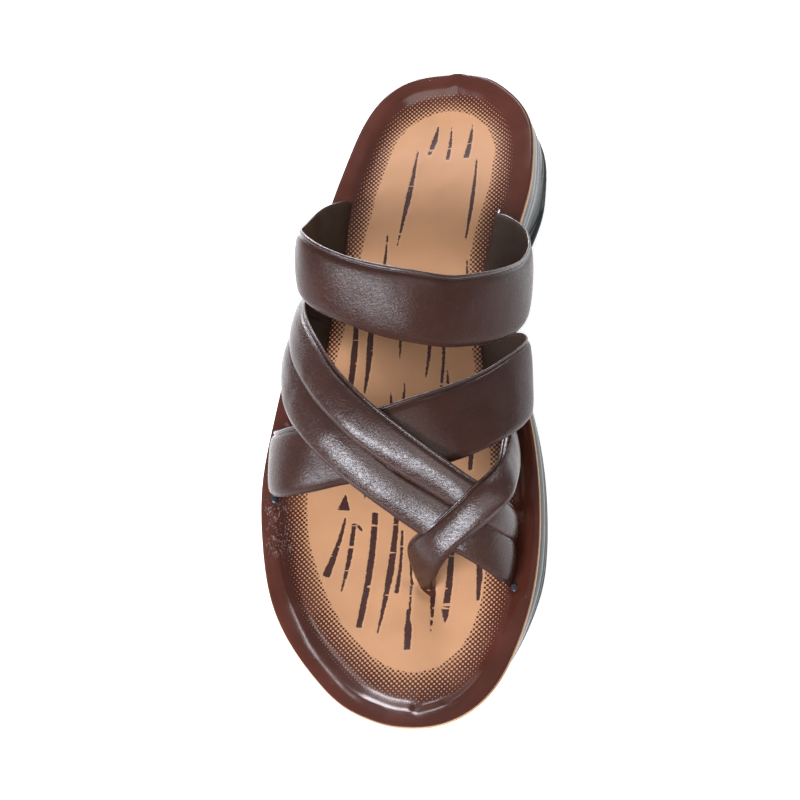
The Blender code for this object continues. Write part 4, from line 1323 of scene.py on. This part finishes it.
def floor_and_lights():
    mesh = bpy.data.meshes.new("floor")
    corners = [(a * FLOOR_REACH, b * FLOOR_REACH, 0) for a, b in ((-1, -1), (1, -1), (1, 1), (-1, 1))]
    mesh.from_pydata(corners, [], [(0, 1, 2, 3)])
    floor = bpy.data.objects.new("floor", mesh)
    bpy.context.scene.collection.objects.link(floor)
    shader = Shader("floor", roughness=0.62, Specular_IOR_Level=0.3, Emission_Color=(1.0, 1.0, 1.0, 1.0),
                    Emission_Strength=FLOOR_GLOW)
    colour = shader.mix(shader.noise(160.0, detail=2.0), (0.90, 0.90, 0.90), (0.93, 0.93, 0.93))
    mesh.materials.append(shader.finish(colour))

    world = bpy.data.worlds.new("studio")
    bpy.context.scene.world = world
    world.use_nodes = True
    sky = world.node_tree.nodes["Background"].inputs
    sky["Color"].default_value = (0.93, 0.96, 1.0, 1.0)
    sky["Strength"].default_value = SKY_STRENGTH
    for name, azimuth, elevation, distance, size, brightness, tint in LAMPS:
        lamp = bpy.data.lights.new(name, "AREA")
        lamp.shape = "RECTANGLE"
        lamp.size, lamp.size_y = size
        lamp.energy = brightness * math.pi * size[0] * size[1]
        lamp.color = tint
        item = bpy.data.objects.new(name, lamp)
        turn = math.radians(azimuth)
        tilt = math.radians(elevation)
        way = Vector((math.cos(tilt) * math.cos(turn), math.cos(tilt) * math.sin(turn), math.sin(tilt)))
        item.location = way * distance
        item.rotation_euler = (-way).to_track_quat("-Z", "Y").to_euler()
        bpy.context.scene.collection.objects.link(item)


CAMERA_PLACE = (0.120, -0.2444, 0.5624)
CAMERA_RIGHT = (0.9792, 0.0574, -0.1948)
CAMERA_UP = (0.0245, 0.9187, 0.3942)
CAMERA_LENS = 70.0


def camera():
    lens = bpy.data.cameras.new("camera")
    lens.lens = CAMERA_LENS
    lens.sensor_width = 36.0
    eye = bpy.data.objects.new("camera", lens)
    right = Vector(CAMERA_RIGHT).normalized()
    back = right.cross(Vector(CAMERA_UP)).normalized()
    up = back.cross(right)
    eye.matrix_world = Matrix.Translation(CAMERA_PLACE) @ Matrix((right, up, back)).transposed().to_4x4()
    bpy.context.scene.collection.objects.link(eye)
    bpy.context.scene.camera = eye


MATERIALS = {
    "print": footbed_print(),
    "board": board_fibre(),
    "sole": sole_rubber(),
    "tread": tread_rubber(),
    "leather": strap_leather("strap_leather", 0.42, 0.22),
    "band": strap_leather("band_leather", 0.18, 0.25),
    "edge": strap_leather("edge_leather", 0.62, 0.20),
    "lining": strap_lining(),
    "cement": cement(),
}
camera()
floor_and_lights()
footbed_cover(MATERIALS)
insole_board(MATERIALS)
midsole(MATERIALS)
for pad_row in PADS:
    tread_pad(pad_row, MATERIALS)
for strap_name in STRAPS:
    strap_piece(strap_name, MATERIALS)
for bead_index, bead_row in enumerate(BEADS):
    cement_bead(bead_index, bead_row, MATERIALS)

bpy.context.scene.view_settings.view_transform = "Standard"
